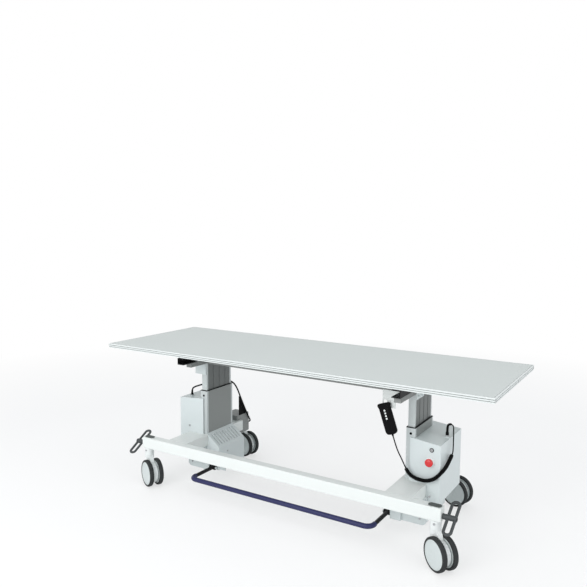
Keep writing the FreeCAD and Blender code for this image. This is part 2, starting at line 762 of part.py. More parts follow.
def pivot_x(side, end):
    sign = dict(sides)[side]
    if end == "front":
        return "%d * frontPivotX" % sign
    return "%sLegX + %d * (legWidth - stubWidth) / 2" % (side, sign)


def pivot_y(end):
    return "beamY" if end == "front" else "rearPivotY"


def outer_columns():
    members = []
    for side, _ in sides:
        column = body(side + "_outer_column", side + "ColumnX", "columnY")
        half, deep = "columnWidth / 2", "columnDepth / 2"
        pad(column, "XY", "columnFoot", "columnRim",
            rectangle("-" + half, half, "-" + deep, deep),
            rectangle("columnWall - " + half, half + " - columnWall",
                      "columnWall - " + deep, deep + " - columnWall"))
        members.append(column)
    return group("outer_columns", members)


def lift_housings():
    members = []
    for side, sign in sides:
        housing = body(side + "_lift_housing")
        centre = side + "HousingX"
        pad(housing, "XZ", "housingFront", "housingBack",
            rectangle(centre + " - housingWidth / 2", centre + " + housingWidth / 2", "housingFoot", legFoot))
        outside = sizes[centre] + sign * sizes["housingWidth"] / 2
        soften(housing, "housingCorner", alongY,
               lambda at: abs(at.x - outside) < 1 and abs(at.z - sizes["housingFoot"]) < 1)
        pocket(housing, "XY", "housingFoot + housingCorner", legFoot + " - housingWall",
               rectangle(centre + " - housingWidth / 2 + housingWall", centre + " + housingWidth / 2 - housingWall",
                         "housingFront + housingWall", "housingBack - housingWall"))
        pocket(housing, "XY", "columnFoot", legFoot + " + 1", column_outline(side))
        members.append(housing)
    return group("lift_housings", members)


def vent_cover():
    made = body("vent_cover")
    leg = "leftLegX + legWidth / 2"
    column = "leftColumnX + columnWidth / 2"
    housing = "leftHousingX + housingWidth / 2"
    reach = leg + " + ventReach"
    front = "columnY - columnDepth / 2 - ventOverhang"
    back = "columnY + columnDepth / 2"
    wall = "coverWall"
    pad(made, "XZ", front, back,
        polygon((housing, "ventFoot"), (reach, "ventFoot"), (reach, "ventKnee"), (column, "ventTop"),
                (column, "frameTop"), (leg, "frameTop"), (leg, legFoot), (housing, legFoot)))
    pocket(made, "XZ", front + " + " + wall, back + " - " + wall,
           polygon((housing + " - 1", "ventFoot + " + wall), (reach + " - " + wall, "ventFoot + " + wall),
                   (reach + " - " + wall, "ventKnee - coverWall / 2"), (leg, "frameTop - 3 * coverWall"),
                   (leg + " - 1", legFoot + " - coverWall"), (housing + " - 1", legFoot + " - coverWall")))
    slot = pocket(made, "XY", "ventKnee", "ventTop + 1",
                  rectangle(leg + " + slotStart", reach + " - slotEnd",
                            front + " + slotInset", front + " + slotInset + slotWidth"))
    slotSketch = slot.Profile[0]
    row = made.newObject("PartDesign::LinearPattern", "VentSlots")
    row.Originals = [slot]
    row.Direction = (slotSketch, ["V_Axis"])
    bind(row, "Length", "slotPitch * (slotCount - 1)")
    bind(row, "Occurrences", "slotCount")
    made.Tip = row
    pad(made, "XZ", front, front + " + coverWall",
        rectangle(reach + " - 1", reach + " + tabReach", "ventFoot + tabRise", "ventFoot + tabRise + tabHeight"))
    pocket(made, "XY", "columnFoot", legFoot + " + 1", column_outline("left"))
    return made


def cover(side, sign):
    """Sheet cover on the outer side of a column, open towards the column and below."""
    made = body(side + "_cover")
    inner = side + "ColumnX"
    leg = "%sLegX + %d * legWidth / 2" % (side, sign)
    outer = side + "CoverX"
    wall = "%d * coverWall" % sign
    housing = "%sHousingX + %d * housingWidth / 2" % (side, sign)
    back = side + "CoverBack"
    pad(made, "XZ", "coverFront", back,
        polygon((inner, "frameTop"), (leg, "frameTop"), (leg, legFoot), (housing, legFoot), (housing, "coverFoot"),
                (outer, "coverFoot"), (outer, "coverLow"), (inner, "coverHigh")))
    soften(made, "coverCorner", alongZ, lambda at: abs(at.x - worth(outer)) < 1)
    pocket(made, "XZ", "coverFront + coverWall", back + " - coverWall",
           polygon(("%s - %d * 2" % (inner, sign), "frameTop - 1"), ("%s - %d" % (leg, sign), "frameTop - 1"),
                   ("%s - %d" % (leg, sign), "coverFoot - 1"), (outer + " - " + wall, "coverFoot - 1"),
                   (outer + " - " + wall, "coverLow - coverWall"),
                   ("%s - %d * 2" % (inner, sign), "coverHigh - coverWall")))
    across = (inner + " - %d * 2" % sign, "%s + %d * (columnWidth / 2 + coverGap)" % (inner, sign))
    pocket(made, "XY", "coverLow - 10", "coverHigh + 1",
           rectangle(across[0] if sign > 0 else across[1], across[1] if sign > 0 else across[0],
                     "columnY - columnDepth / 2 - coverGap", "columnY + columnDepth / 2 + coverGap"))
    pad(made, "XY", "coverLow - coverWall", "bossTop", circle(side + "GlandX", side + "GlandY", "bossRadius"))
    return made


def right_cover():
    made = cover("right", 1)
    flapLeft = "rightLegX + legWidth / 2 + flapInset"
    flapLow = "coverFoot + flapFoot"
    pad(made, "XZ", "coverFront - flapRise", "coverFront + 1",
        rectangle(flapLeft, flapLeft + " + flapWidth", flapLow, flapLow + " + flapHeight"))
    pad(made, "XZ", "coverFront - bezelHeight", "coverFront + 1", circle("lockX", "lockZ", "bezelRadius"))
    pocket(made, "XZ", "coverFront - bezelHeight - 1", "coverFront + coverWall + 1",
           circle("lockX", "lockZ", "lockRadius + runningGap"))
    pocket(made, "XZ", "coverFront - 1", "coverFront + coverWall + 1",
           circle("stopX", "stopZ", "sleeveRadius + runningGap"))
    return made


def rear_unit():
    """Connection box that wraps the left leg behind the column."""
    made = body("rear_unit")
    outer = "leftLegX - legWidth / 2 + unitEdge"
    inner = "leftLegX + legWidth / 2 - unitInset"
    pad(made, "XY", "frameTop", "frameTop + unitHeight", rectangle(outer, inner, "unitFront", "unitBack"))
    soften(made, "coverCorner", alongZ)
    step = "leftLegX - legWidth / 2 + stubWidth"
    pad(made, "XY", "unitFoot", "frameTop + 1", rectangle(step, inner, "legEnd", "unitBack"))
    return made


nodes += [base_beam(), legs(), outer_columns(), lift_housings(), vent_cover(), right_cover(), cover("left", -1),
          rear_unit()]


# ---- casters ----
def caster_sockets():
    members = []
    for side, _ in sides:
        for end in ("front", "rear"):
            socket = body("%s_%s_socket" % (side, end), pivot_x(side, end), pivot_y(end))
            pad(socket, "XY", legFoot + " - socketDrop", legFoot, circle("0", "0", "socketRadius"))
            pocket(socket, "XY", legFoot + " - socketDrop - 1", legFoot + " - socketRoof",
                   circle("0", "0", "stemBore + runningGap"))
            members.append(socket)
    return group("caster_sockets", members)


def caster_fork(side, end, turn):
    made = body("fork_%s_%s" % (side, end), pivot_x(side, end), pivot_y(end), "0", turn, alongZ)
    headHigh = legFoot + " - socketDrop - slideGap"
    pad(made, "XZ", "-webThickness / 2", "webThickness / 2", circle("trail", "wheelRadius", "webRadius"))
    pad(made, "XZ", "-webThickness / 2", "webThickness / 2",
        polygon(("-socketRadius", "wheelRadius + neckFoot"), ("trail", "wheelRadius + neckFoot / 3"),
                ("socketRadius + neckReach", "wheelRadius * 2 - neckDrop"), ("socketRadius", headHigh),
                ("-socketRadius", headHigh)))
    pad(made, "XY", "wheelRadius * 2 + headClear", headHigh, circle("0", "0", "socketRadius"))
    pad(made, "XY", headHigh + " - 1", legFoot + " - socketRoof - stemShort", circle("0", "0", "stemBore"))
    boss = "wheelSpread - wheelWidth / 2 - slideGap"
    pad(made, "XZ", "-(%s)" % boss, boss, circle("trail", "wheelRadius", "axleRadius + hubRise - 2"))
    axle = "wheelSpread + wheelWidth / 2 - axleEnd"
    pad(made, "XZ", "-(%s)" % axle, axle, circle("trail", "wheelRadius", "axleRadius"))
    return made


def caster_wheel(side, end, turn, mark, sign):
    """Disc wheel with a blind bore that opens towards the fork."""
    place = (pivot_x(side, end), pivot_y(end), "0", turn, alongZ)
    rim = body("wheel_%s_%s_%s" % (side, end, mark), *place)
    across = lambda text: "%d * (wheelSpread + %s)" % (sign, text)
    half = "wheelWidth / 2"
    rimRadius = "(wheelRadius - treadThickness)"
    pad(rim, "XZ", *ordered(across("-" + half + " + discInset"), across(half + " - discInset"), sign),
        circle("trail", "wheelRadius", rimRadius))
    pad(rim, "XZ", *ordered(across("0"), across(half), sign),
        circle("trail", "wheelRadius", rimRadius + " - discStep"))
    pad(rim, "XZ", *ordered(across("-" + half), across("0"), sign),
        circle("trail", "wheelRadius", "axleRadius + hubRise"))
    pocket(rim, "XZ", *ordered(across("-%s - 1" % half), across(half + " - hubCap"), sign),
           circle("trail", "wheelRadius", "axleRadius + runningGap"))
    tread = body("tread_%s_%s_%s" % (side, end, mark), *place)
    pad(tread, "XZ", *ordered(across("-" + half), across(half), sign),
        circle("trail", "wheelRadius", "wheelRadius"), circle("trail", "wheelRadius", rimRadius))
    fillet(tread, "treadRound",
           lambda edge: edge.Curve.TypeId == "Part::GeomCircle" and edge.Curve.Radius > sizes["wheelRadius"] - 1)
    return [rim, tread]


nodes.append(caster_sockets())
for side, sign in sides:
    for end in ("front", "rear"):
        turn = side + end.capitalize() + "Turn"
        nodes.append(caster_fork(side, end, turn))
        for mark, across in (("near", -1), ("far", 1)):
            nodes += caster_wheel(side, end, turn, mark, across)


# ---- brake pedals ----
def brake_pedals():
    members = []
    for side, sign in sides:
        pedal = body(side + "_pedal", "%d * pedalX" % sign, "beamY", axisZ, "pedalTilt", alongX)
        half, wide = "pedalLength / 2", "pedalWidth / 2"
        window = "%s - pedalBar" % wide
        pad(pedal, "XY", "-pedalThickness / 2", "pedalThickness / 2",
            rectangle("-" + wide, wide, "-" + half, half))
        soften(pedal, "pedalCorner", alongZ)
        for end in (-1, 1):
            near, far = ordered("%d * pedalMiddle / 2" % end, "%d * (%s - pedalBar)" % (end, half), end)
            pocket(pedal, "XY", "-pedalThickness / 2 - 1", "pedalThickness / 2 + 1",
                   rectangle("-(%s)" % window, window, near, far))
        soften(pedal, "windowCorner", alongZ,
               lambda at: abs(abs(at.x) - sizes["pedalWidth"] / 2 + sizes["pedalBar"]) < 0.1)
        inward = "%d * (beamLength / 2 + endFloat - pedalX)" % sign
        outward = "%d * pedalWidth / 2" % sign
        pad(pedal, "YZ", *ordered(inward, outward, sign), circle("0", "0", "hubRadius"))
        pocket(pedal, "YZ", *ordered(inward + " - %d" % sign, outward + " + %d" % sign, sign),
               circle("0", "0", "shaftRadius"))
        members.append(pedal)
    return group("brake_pedals", members)


def lock_shaft():
    made = body("lock_shaft")
    pad(made, "YZ", "-pedalX - pedalWidth / 2", "pedalX + pedalWidth / 2",
        circle("beamY", axisZ, "shaftRadius"))
    return made


# ---- treadle ----
def u_path(owner, start):
    """Open U in the XY plane: arm, bend, bar, bend, arm."""
    path = sketch(owner, "XY", "treadleZ")
    stops = [("-treadleHalf", start), ("-treadleHalf", "treadleY + treadleBend"),
             ("treadleBend - treadleHalf", "treadleY"), ("treadleHalf - treadleBend", "treadleY"),
             ("treadleHalf", "treadleY + treadleBend"), ("treadleHalf", start)]
    spots = [Vector(worth(across), worth(up), 0) for across, up in stops]
    for k in (0, 2, 4):
        path.addGeometry(Part.LineSegment(spots[k], spots[k + 1]))
    turns = (("treadleBend - treadleHalf", math.pi), ("treadleHalf - treadleBend", 1.5 * math.pi))
    for k, (across, begin) in enumerate(turns):
        centre = Vector(worth(across), worth("treadleY + treadleBend"), 0)
        ring = Part.Circle(centre, Vector(0, 0, 1), worth("treadleBend"))
        arc = path.addGeometry(Part.ArcOfCircle(ring, begin, begin + math.pi / 2))
        path.addConstraint(Sketcher.Constraint("Coincident", k, 2, arc, 1))
        path.addConstraint(Sketcher.Constraint("Coincident", arc, 2, k + 1, 1))
        number = path.addConstraint(Sketcher.Constraint("DistanceX", -1, 1, arc, 3, worth(across)))
        path.renameConstraint(number, "Centre_%d" % k)
        bind(path, "Constraints.Centre_%d" % k, across)
    for k, (across, up) in enumerate(stops):
        pin_down(path, k // 2, k % 2 + 1, across, up)
    return path


def pipe(owner, kind, start, radius):
    path = u_path(owner, start)
    section = sketch(owner, "XZ", "-(%s)" % start)
    circle("-treadleHalf", "treadleZ", radius)(section)
    doc.recompute()
    feature = owner.newObject("PartDesign::" + kind, "Feature%d" % next(names))
    feature.Profile = section
    feature.Spine = (path, ["Edge%d" % (k + 1) for k in range(path.GeometryCount)])
    path.Visibility = False
    section.Visibility = False
    return feature


def treadle_bar():
    made = body("treadle_bar")
    pipe(made, "AdditivePipe", "hingeY", "treadleRadius")
    for sign in (-1, 1):
        near, far = "%d * treadleHalf - hubWidth / 2" % sign, "%d * treadleHalf + hubWidth / 2" % sign
        pad(made, "YZ", near, far, circle("hingeY", "treadleZ", "hingeHub"))
        pocket(made, "YZ", near + " - 1", far + " + 1", circle("hingeY", "treadleZ", "pinRadius + runningGap"))
    return made


def treadle_sleeve():
    made = body("treadle_sleeve")
    start = "treadleY + treadleBend + sleeveArm"
    pipe(made, "AdditivePipe", start, "sleeveOuter")
    pipe(made, "SubtractivePipe", start, "treadleRadius")
    return made


def treadle_hinges():
    members = []
    for side, sign in sides:
        hinge = body(side + "_treadle_hinge")
        housing = "%sHousingX - %d * housingWidth / 2" % (side, sign)
        pad(hinge, "YZ", *ordered("%d * hingeInner" % sign, housing, sign),
            rectangle("hingeY - hingeDepth / 2", "hingeY + hingeDepth / 2", "treadleZ - hingeHeight / 2",
                      "treadleZ + hingeHeight / 2"))
        inside = "%d * (treadleHalf - hubWidth / 2 - pinOver)" % sign
        pad(hinge, "YZ", *ordered(inside, "%d * (hingeInner + 1)" % sign, sign),
            circle("hingeY", "treadleZ", "pinRadius"))
        pad(hinge, "YZ", *ordered(inside + " - %d * pinHead" % sign, inside, sign),
            circle("hingeY", "treadleZ", "pinRadius + pinRim"))
        members.append(hinge)
    return group("treadle_hinges", members)


nodes += [brake_pedals(), lock_shaft(), treadle_bar(), treadle_sleeve(), treadle_hinges()]


# ---- controls on the right cover ----
def estop_collar():
    made = body("estop_collar")
    pad(made, "XZ", "coverFront - collarHeight", "coverFront", circle("stopX", "stopZ", "collarRadius"))
    pad(made, "XZ", "coverFront - 1", "coverFront + coverWall + stemGuide",
        circle("stopX", "stopZ", "sleeveRadius"))
    pocket(made, "XZ", "coverFront - collarHeight - 1", "coverFront + coverWall + stemGuide + 1",
           circle("stopX", "stopZ", "stemRadius + runningGap"))
    return made


def estop_button():
    made = body("estop_button")
    rest = "coverFront - collarHeight - stopTravel - slideGap"
    pad(made, "XZ", rest + " - stopHead", rest, circle("stopX", "stopZ", "stopRadius"))
    pad(made, "XZ", rest + " - 1", "coverFront + coverWall + stemReach",
        circle("stopX", "stopZ", "stemRadius"))
    return made


def key_barrel():
    made = body("key_barrel")
    face = "coverFront - bezelHeight - barrelRise"
    pad(made, "XZ", face, "coverFront + coverWall + barrelReach", circle("lockX", "lockZ", "lockRadius"))
    pocket(made, "XZ", face + " - 1", face + " + keySlotDepth",
           rectangle("lockX - keySlotWidth / 2", "lockX + keySlotWidth / 2",
                     "lockZ - keySlotHeight / 2", "lockZ + keySlotHeight / 2"))
    return made


# ---- glands, trim and fixings ----
def gland(side):
    made = body(side + "_gland", side + "GlandX", side + "GlandY", "bossTop + nutHeight")
    high = side + "GlandHeight"
    turned(made, "XZ", "V", polygon(("0", "0"), ("glandRadius", "0"), ("glandRadius", high + " / 2"),
                                    ("glandRadius - glandTaper", high), ("0", high)))
    return made


def hexagon(across, centreX, centreY):
    corners = []
    for k in range(6):
        corners.append(("%s + %s / sqrt(3) * cos(%ddeg)" % (centreX, across, 60 * k),
                        "%s + %s / sqrt(3) * sin(%ddeg)" % (centreY, across, 60 * k)))
    return polygon(*corners)


def screw_head(label, x, y, z, facing):
    """Button head with a hexagon socket; facing is the plane whose axis it stands on."""
    made = body(label, x, y, z)
    sign = -1 if facing == "XZ" else 1
    pad(made, facing, *ordered("0", "%d * screwHead" % sign, sign), circle("0", "0", "screwRadius"))
    pocket(made, facing,
           *ordered("%d * (screwHead - socketDepth)" % sign, "%d * (screwHead + 1)" % sign, sign),
           hexagon("socketAcross", "0", "0"))
    return made


def fixings():
    """Gland nuts and the visible screw heads."""
    members = []
    for side, sign in sides:
        nut = body(side + "_gland_nut", side + "GlandX", side + "GlandY", "bossTop")
        pad(nut, "XY", "0", "nutHeight", hexagon("nutAcross", "0", "0"))
        members.append(nut)
        members.append(screw_head(side + "_housing_screw", side + "HousingX + %d * housingScrewSide" % sign,
                                  "housingFront", "housingFoot + housingScrewRise", "XZ"))
        members.append(screw_head(side + "_socket_screw", "%d * frontPivotX" % sign, "beamY - socketRadius",
                                  legFoot + " - socketScrewDrop", "XZ"))
    members.append(screw_head("left_cover_screw", "leftColumnX - coverScrewSide", "coverFront",
                              "coverFoot + coverScrewRise", "XZ"))
    members.append(screw_head("flap_screw", "rightLegX + legWidth / 2 + flapScrewSide", "coverFront - flapRise",
                              "coverFoot + flapScrewRise", "XZ"))
    members.append(screw_head("vent_screw", "leftLegX + legWidth / 2 + ventReach", "columnY - ventScrewSide",
                              "ventFoot + ventScrewRise", "YZ"))
    return group("fixings", members)


def profile_screws():
    """Small heads on the end profiles of the top."""
    members = []
    for end in (-1, 1):
        face = "%d * topLength / 2" % end
        for sign in (-1, 1):
            for place in ("topWidth / 2 - endScrewInset", "endScrewSpread"):
                head = body("end_screw_%d" % len(members))
                pad(head, "YZ", *ordered(face, face + " + %d * endScrewHead" % end, end),
                    circle("%d * (%s)" % (sign, place), "topHeight - endScrewDrop", "endScrewRadius"))
                members.append(head)
    return group("profile_screws", members)


def black_trim():
    """Column seals, column plugs, caps on the beam's ends, mains inlet and cable guard."""
    members = []
    for side, sign in sides:
        seal = body(side + "_seal", side + "ColumnX", "columnY", "columnRim")
        half, deep = "(columnWidth / 2 + sealLap)", "(columnDepth / 2 + sealLap)"
        pad(seal, "XY", "0", "sealHeight", rectangle("-" + half, half, "-" + deep, deep),
            rectangle("-(%s + slideGap)" % innerHalf, "%s + slideGap" % innerHalf,
                      "-(%s + slideGap)" % innerDeep, "%s + slideGap" % innerDeep))
        plug = body(side + "_plug", side + "ColumnX", "columnY - columnDepth / 2", "columnRim - plugDrop")
        pad(plug, "XZ", "-plugRise", "0", circle("0", "0", "plugRadius"))
        cap = body(side + "_beam_cap", "%d * (beamLength / 2 - capInset)" % sign, "beamY", "frameTop")
        pad(cap, "XY", "0", "capRise",
            rectangle("-capLength / 2", "capLength / 2", "-capWidth / 2", "capWidth / 2"))
        soften(cap, "capCorner", alongZ)
        members += [seal, plug, cap]
    inlet = body("mains_inlet", "leftColumnX - inletX", "leftCoverBack", "coverFoot + inletRise")
    wide, tall = "inletWidth / 2", "inletHeight / 2"
    pad(inlet, "XZ", "0", "inletThickness", rectangle("-" + wide, wide, "-" + tall, tall))
    pocket(inlet, "XZ", "inletFloor", "inletThickness + 1",
           rectangle("inletRim - " + wide, wide + " - inletRim", "inletLip - " + tall, tall + " - inletLip"))
    guard = body("cable_guard", "leftLegX + legWidth / 2 - unitInset - guardThickness", "unitFront + guardInset",
                 "frameTop + unitHeight")
    pad(guard, "YZ", "0", "guardThickness",
        polygon(("0", "0"), ("guardDepth", "0"), ("guardTip", "guardHeight"), ("0", "guardHeight")))
    return group("black_trim", members + [inlet, guard])


nodes += [estop_collar(), estop_button(), key_barrel(), group("cable_glands", [gland("left"), gland("right")]),
          fixings(), profile_screws(), black_trim()]


# ---- handset ----
handsetY = "hookFront - handsetGap - handsetThickness / 2"


def handset_place():
    return ("handsetX", handsetY, "handsetZ", "-handsetTilt", alongY)


def handset_shell():
    made = body("handset_shell", *handset_place())
    half, wide, head = "handsetLength / 2", "handsetWidth / 2", "handsetHead / 2"
    deep = "handsetThickness / 2"
    taper = "handsetTaper - " + half
    flare = half + " - handsetFlare"
    pad(made, "XZ", "-" + deep, deep,
        polygon(("handsetNarrow - " + wide, "-" + half), (wide + " - handsetNarrow", "-" + half), (wide, taper),
                (wide, flare), (head, half), ("-" + head, half), ("-" + wide, flare), ("-" + wide, taper)))
    soften(made, "handsetCorner", alongY)
    turned(made, "XZ", "V", polygon(("0", "-%s - reliefLength" % half), ("reliefTip", "-%s - reliefLength" % half),
                                    ("reliefFoot", "1 - " + half), ("0", "1 - " + half)))
    peg = half + " - pegDrop"
    plateBack = deep + " + handsetGap + hookThickness"
    pad(made, "XZ", deep + " - 1", plateBack + " + slideGap", circle("0", peg, "pegRadius"))
    pad(made, "XZ", plateBack + " + slideGap", plateBack + " + pegCap", circle("0", peg, "pegHead"))
    for k in range(4):
        pocket(made, "XZ", "-(%s) - 1" % deep, "keyWell - " + deep,
               circle("0", "%s - keyStart - %d * keyPitch" % (half, k), "keyRadius + keyGap"))
    return made


def handset_key(k):
    made = body("handset_key_%d" % (k + 1), *handset_place())
    face = "-handsetThickness / 2"
    pad(made, "XZ", face + " - keyRise", face + " + keyWell - keyTravel - slideGap",
        circle("0", "handsetLength / 2 - keyStart - %d * keyPitch" % k, "keyRadius"))
    return made


nodes.append(handset_shell())
nodes += [handset_key(k) for k in range(4)]
doc.recompute()


# ---- cords ----
def cord(label, diameter, points):
    """Round tube on straight runs joined by tangent arcs."""
    spots = [Vector(*point) for point in points]
    edges = []
    start = spots[0]
    length = 0
    tightest = None
    for before, corner, after in zip(spots, spots[1:], spots[2:]):
        arrive, leave = corner - before, after - corner
        half = arrive.getAngle(leave) / 2
        cut = 0.45 * min(arrive.Length, leave.Length)
        radius = cut / math.tan(half)
        arrive.normalize()
        leave.normalize()
        begin, end = corner - arrive * cut, corner + leave * cut
        towards = (leave - arrive).normalize()
        middle = corner + towards * (radius / math.cos(half) - radius)
        edges += [Part.makeLine(start, begin), Part.Arc(begin, middle, end).toShape()]
        start = end
        tightest = min(radius, tightest or radius)
    edges.append(Part.makeLine(start, spots[-1]))
    length = sum(edge.Length for edge in edges)
    made = doc.addObject("Part::Feature", "Cord%d" % next(names))
    made.Label = label
    ring = Part.Wire([Part.makeCircle(diameter / 2, spots[0], spots[1] - spots[0])])
    sweep = Part.BRepOffsetAPI.MakePipeShell(Part.Wire(edges))
    sweep.add(ring)
    sweep.build()
    sweep.makeSolid()
    made.Shape = sweep.shape()
    expected = math.pi * diameter ** 2 / 4 * length
    print("%s: %.0f mm long, tightest radius %.0f mm, volume %.3f of section times length"
          % (label, length, tightest, made.Shape.Volume / expected))
    made.Placement = FreeCAD.Placement()
    return made


def spot(x, y, z):
    """A point from three sums of sizes."""
    return Vector(worth(x), worth(y), worth(z))


def between(start, end, along, sideways, down):
    """A point part of the way from start to end, each share given for one axis."""
    return Vector(start.x + (end.x - start.x) * along, start.y + (end.y - start.y) * sideways,
                  start.z + (end.z - start.z) * down)


tilt = math.radians(worth("handsetTilt"))
handsetDown = Vector(math.sin(tilt), 0, -math.cos(tilt))
exitPoint = spot("handsetX", handsetY, "handsetZ") + handsetDown * worth("handsetLength / 2 + reliefLength")
leadTurn = exitPoint + handsetDown * worth("reliefLength * 3")
front = "coverFront - curlFront"
outside = "rightCoverX + curlSide"
curl = [spot("rightColumnX - 10", front + " - 5", "frameTop + 69"),
        spot("rightColumnX", front, "frameTop + 45.25"),
        spot("rightColumnX + 22", front + " + 0.5", "frameTop + 30"),
        spot("rightColumnX + 53", front + " + 1", "frameTop + 22"),
        spot("rightCoverX - 60", front + " + 1", "frameTop + 22"),
        spot("rightCoverX - 23", front, "frameTop + 39"),
        spot("rightCoverX + 1", front + " + 5", "frameTop + 63"),
        spot(outside, front + " + 28", "frameTop + 81"),
        spot(outside + " + 3", front + " + 75", "frameTop + 94"),
        spot(outside, "columnY - 1", "frameTop + 120")]
curlIn = curl[0] + (curl[0] - curl[1]) * 0.8
curlOut = curl[-1] + (curl[-1] - curl[-2]) * 0.134
nutTop = "bossTop + nutHeight"
rightTop = spot("rightGlandX", "rightGlandY", nutTop + " + rightGlandHeight")
leftTop = spot("leftGlandX", "leftGlandY", nutTop + " + leftGlandHeight")
stubInner = "leftLegX - legWidth / 2 + stubWidth"
straightUp = Vector(0, 0, 15)

nodes.append(cord("handset_lead", worth("leadDiameter"),
                  [exitPoint, leadTurn, between(leadTurn, curl[0], 0.27, 0.23, 0.30),
                   between(leadTurn, curl[0], 0.53, 0.71, 0.64), curlIn, curl[0]]))
nodes.append(cord("curly_cord", worth("curlDiameter"), curl))
nodes.append(cord("gland_lead", worth("leadDiameter"),
                  [curl[-1], curlOut, curl[-1] + Vector(-0.8, 17, 14),
                   curl[-1] + Vector(-1, 19, 28), curl[-1] + Vector(-1, 19, 60),
                   spot(outside + " - 1", "rightGlandY + 6", nutTop + " + 4"),
                   spot(outside + " - 1", "rightGlandY + 4", nutTop + " + 24"),
                   spot(outside + " - 1", "rightGlandY + 3", nutTop + " + 46"),
                   spot(outside + " - 9.5", "rightGlandY + 2", nutTop + " + 54.5"),
                   spot("rightGlandX + 8.5", "rightGlandY + 1", nutTop + " + 54.5"),
                   spot("rightGlandX", "rightGlandY", nutTop + " + 46"), rightTop]))
nodes.append(cord("link_cable", worth("linkDiameter"),
                  [leftTop, leftTop + straightUp, leftTop + Vector(0, 8, 26), leftTop + Vector(0, 28, 30),
                   leftTop + Vector(0, 68, 30), spot("leftGlandX", "columnY + 63", nutTop + " + 38"),
                   spot("leftGlandX + 6", "columnY + 118", nutTop + " + 39"),
                   spot("leftGlandX + 26", "columnY + 149", nutTop + " + 42"),
                   spot("leftColumnX - 69", "columnY + 161", nutTop + " + 45"),
                   spot("leftColumnX - 24", "columnY + 164", nutTop + " + 47"),
                   spot("leftColumnX + 3", "columnY + 169", nutTop + " + 31"),
                   spot("leftColumnX + 17", "columnY + 181", nutTop + " - 3"),
                   spot("leftColumnX + 21", "columnY + 201", "frameTop + 160"),
                   spot("leftColumnX + 20", "legEnd + 23", "frameTop + 90"),
                   spot("leftColumnX + 19", "legEnd + 65", "frameTop + 20"),
                   spot("leftColumnX + 17", "legEnd + 95", "frameTop - 20"),
                   spot("leftColumnX + 9", "legEnd + 108", "frameTop - 36"),
                   spot("leftColumnX - 11", "legEnd + 111", "frameTop - 44"),
                   spot(stubInner, "legEnd + 111", "frameTop - 44")]))

doc.recompute()

faults = [item.Label for item in doc.Objects if "Invalid" in item.State or "Error" in item.State]
faults += [item.Label for item in nodes if item.Shape.isNull() or not item.Shape.isValid()]
if faults:
    raise ValueError("these did not build: " + ", ".join(faults))

os.makedirs("parts", exist_ok=True)
for item in nodes:
    item.Shape.exportStep("parts/%s.step" % item.Label)
print(len(nodes), "nodes")
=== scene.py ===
import json
import math

import bpy
import numpy as np
from mathutils import Matrix, Vector

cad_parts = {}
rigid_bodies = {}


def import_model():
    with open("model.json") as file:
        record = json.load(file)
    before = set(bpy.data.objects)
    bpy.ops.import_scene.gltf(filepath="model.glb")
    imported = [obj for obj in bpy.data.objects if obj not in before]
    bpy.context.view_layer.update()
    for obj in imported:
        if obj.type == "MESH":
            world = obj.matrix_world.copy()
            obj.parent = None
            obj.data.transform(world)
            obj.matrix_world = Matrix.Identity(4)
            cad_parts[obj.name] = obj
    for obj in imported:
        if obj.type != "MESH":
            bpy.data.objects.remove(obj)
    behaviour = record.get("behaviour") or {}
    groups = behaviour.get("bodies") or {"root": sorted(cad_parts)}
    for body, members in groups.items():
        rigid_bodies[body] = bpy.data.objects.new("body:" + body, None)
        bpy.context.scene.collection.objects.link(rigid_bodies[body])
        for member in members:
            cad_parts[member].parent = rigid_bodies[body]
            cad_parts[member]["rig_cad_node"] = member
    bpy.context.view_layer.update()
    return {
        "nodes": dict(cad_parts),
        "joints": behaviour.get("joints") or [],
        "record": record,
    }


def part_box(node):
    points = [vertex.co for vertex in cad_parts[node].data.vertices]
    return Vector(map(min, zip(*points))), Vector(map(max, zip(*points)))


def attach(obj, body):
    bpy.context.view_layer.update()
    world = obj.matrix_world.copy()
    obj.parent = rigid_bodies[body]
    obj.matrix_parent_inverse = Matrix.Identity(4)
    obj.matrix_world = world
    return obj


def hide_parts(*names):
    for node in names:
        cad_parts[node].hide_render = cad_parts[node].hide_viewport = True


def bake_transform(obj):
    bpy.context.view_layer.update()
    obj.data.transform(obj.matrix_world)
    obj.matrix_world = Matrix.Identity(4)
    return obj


# Mobile radiography table: materials, turned wheels, pedals, handset and cords over the CAD frame.
# Metres throughout. X runs along the top, the front is -Y, Z is up and the floor is Z = 0.

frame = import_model()
joints = {joint["name"]: joint for joint in frame["joints"]}
slots = {part["node"]: part["material_slot"] for part in frame["record"]["subparts"]}
print("frame loaded:", len(frame["nodes"]), "nodes")


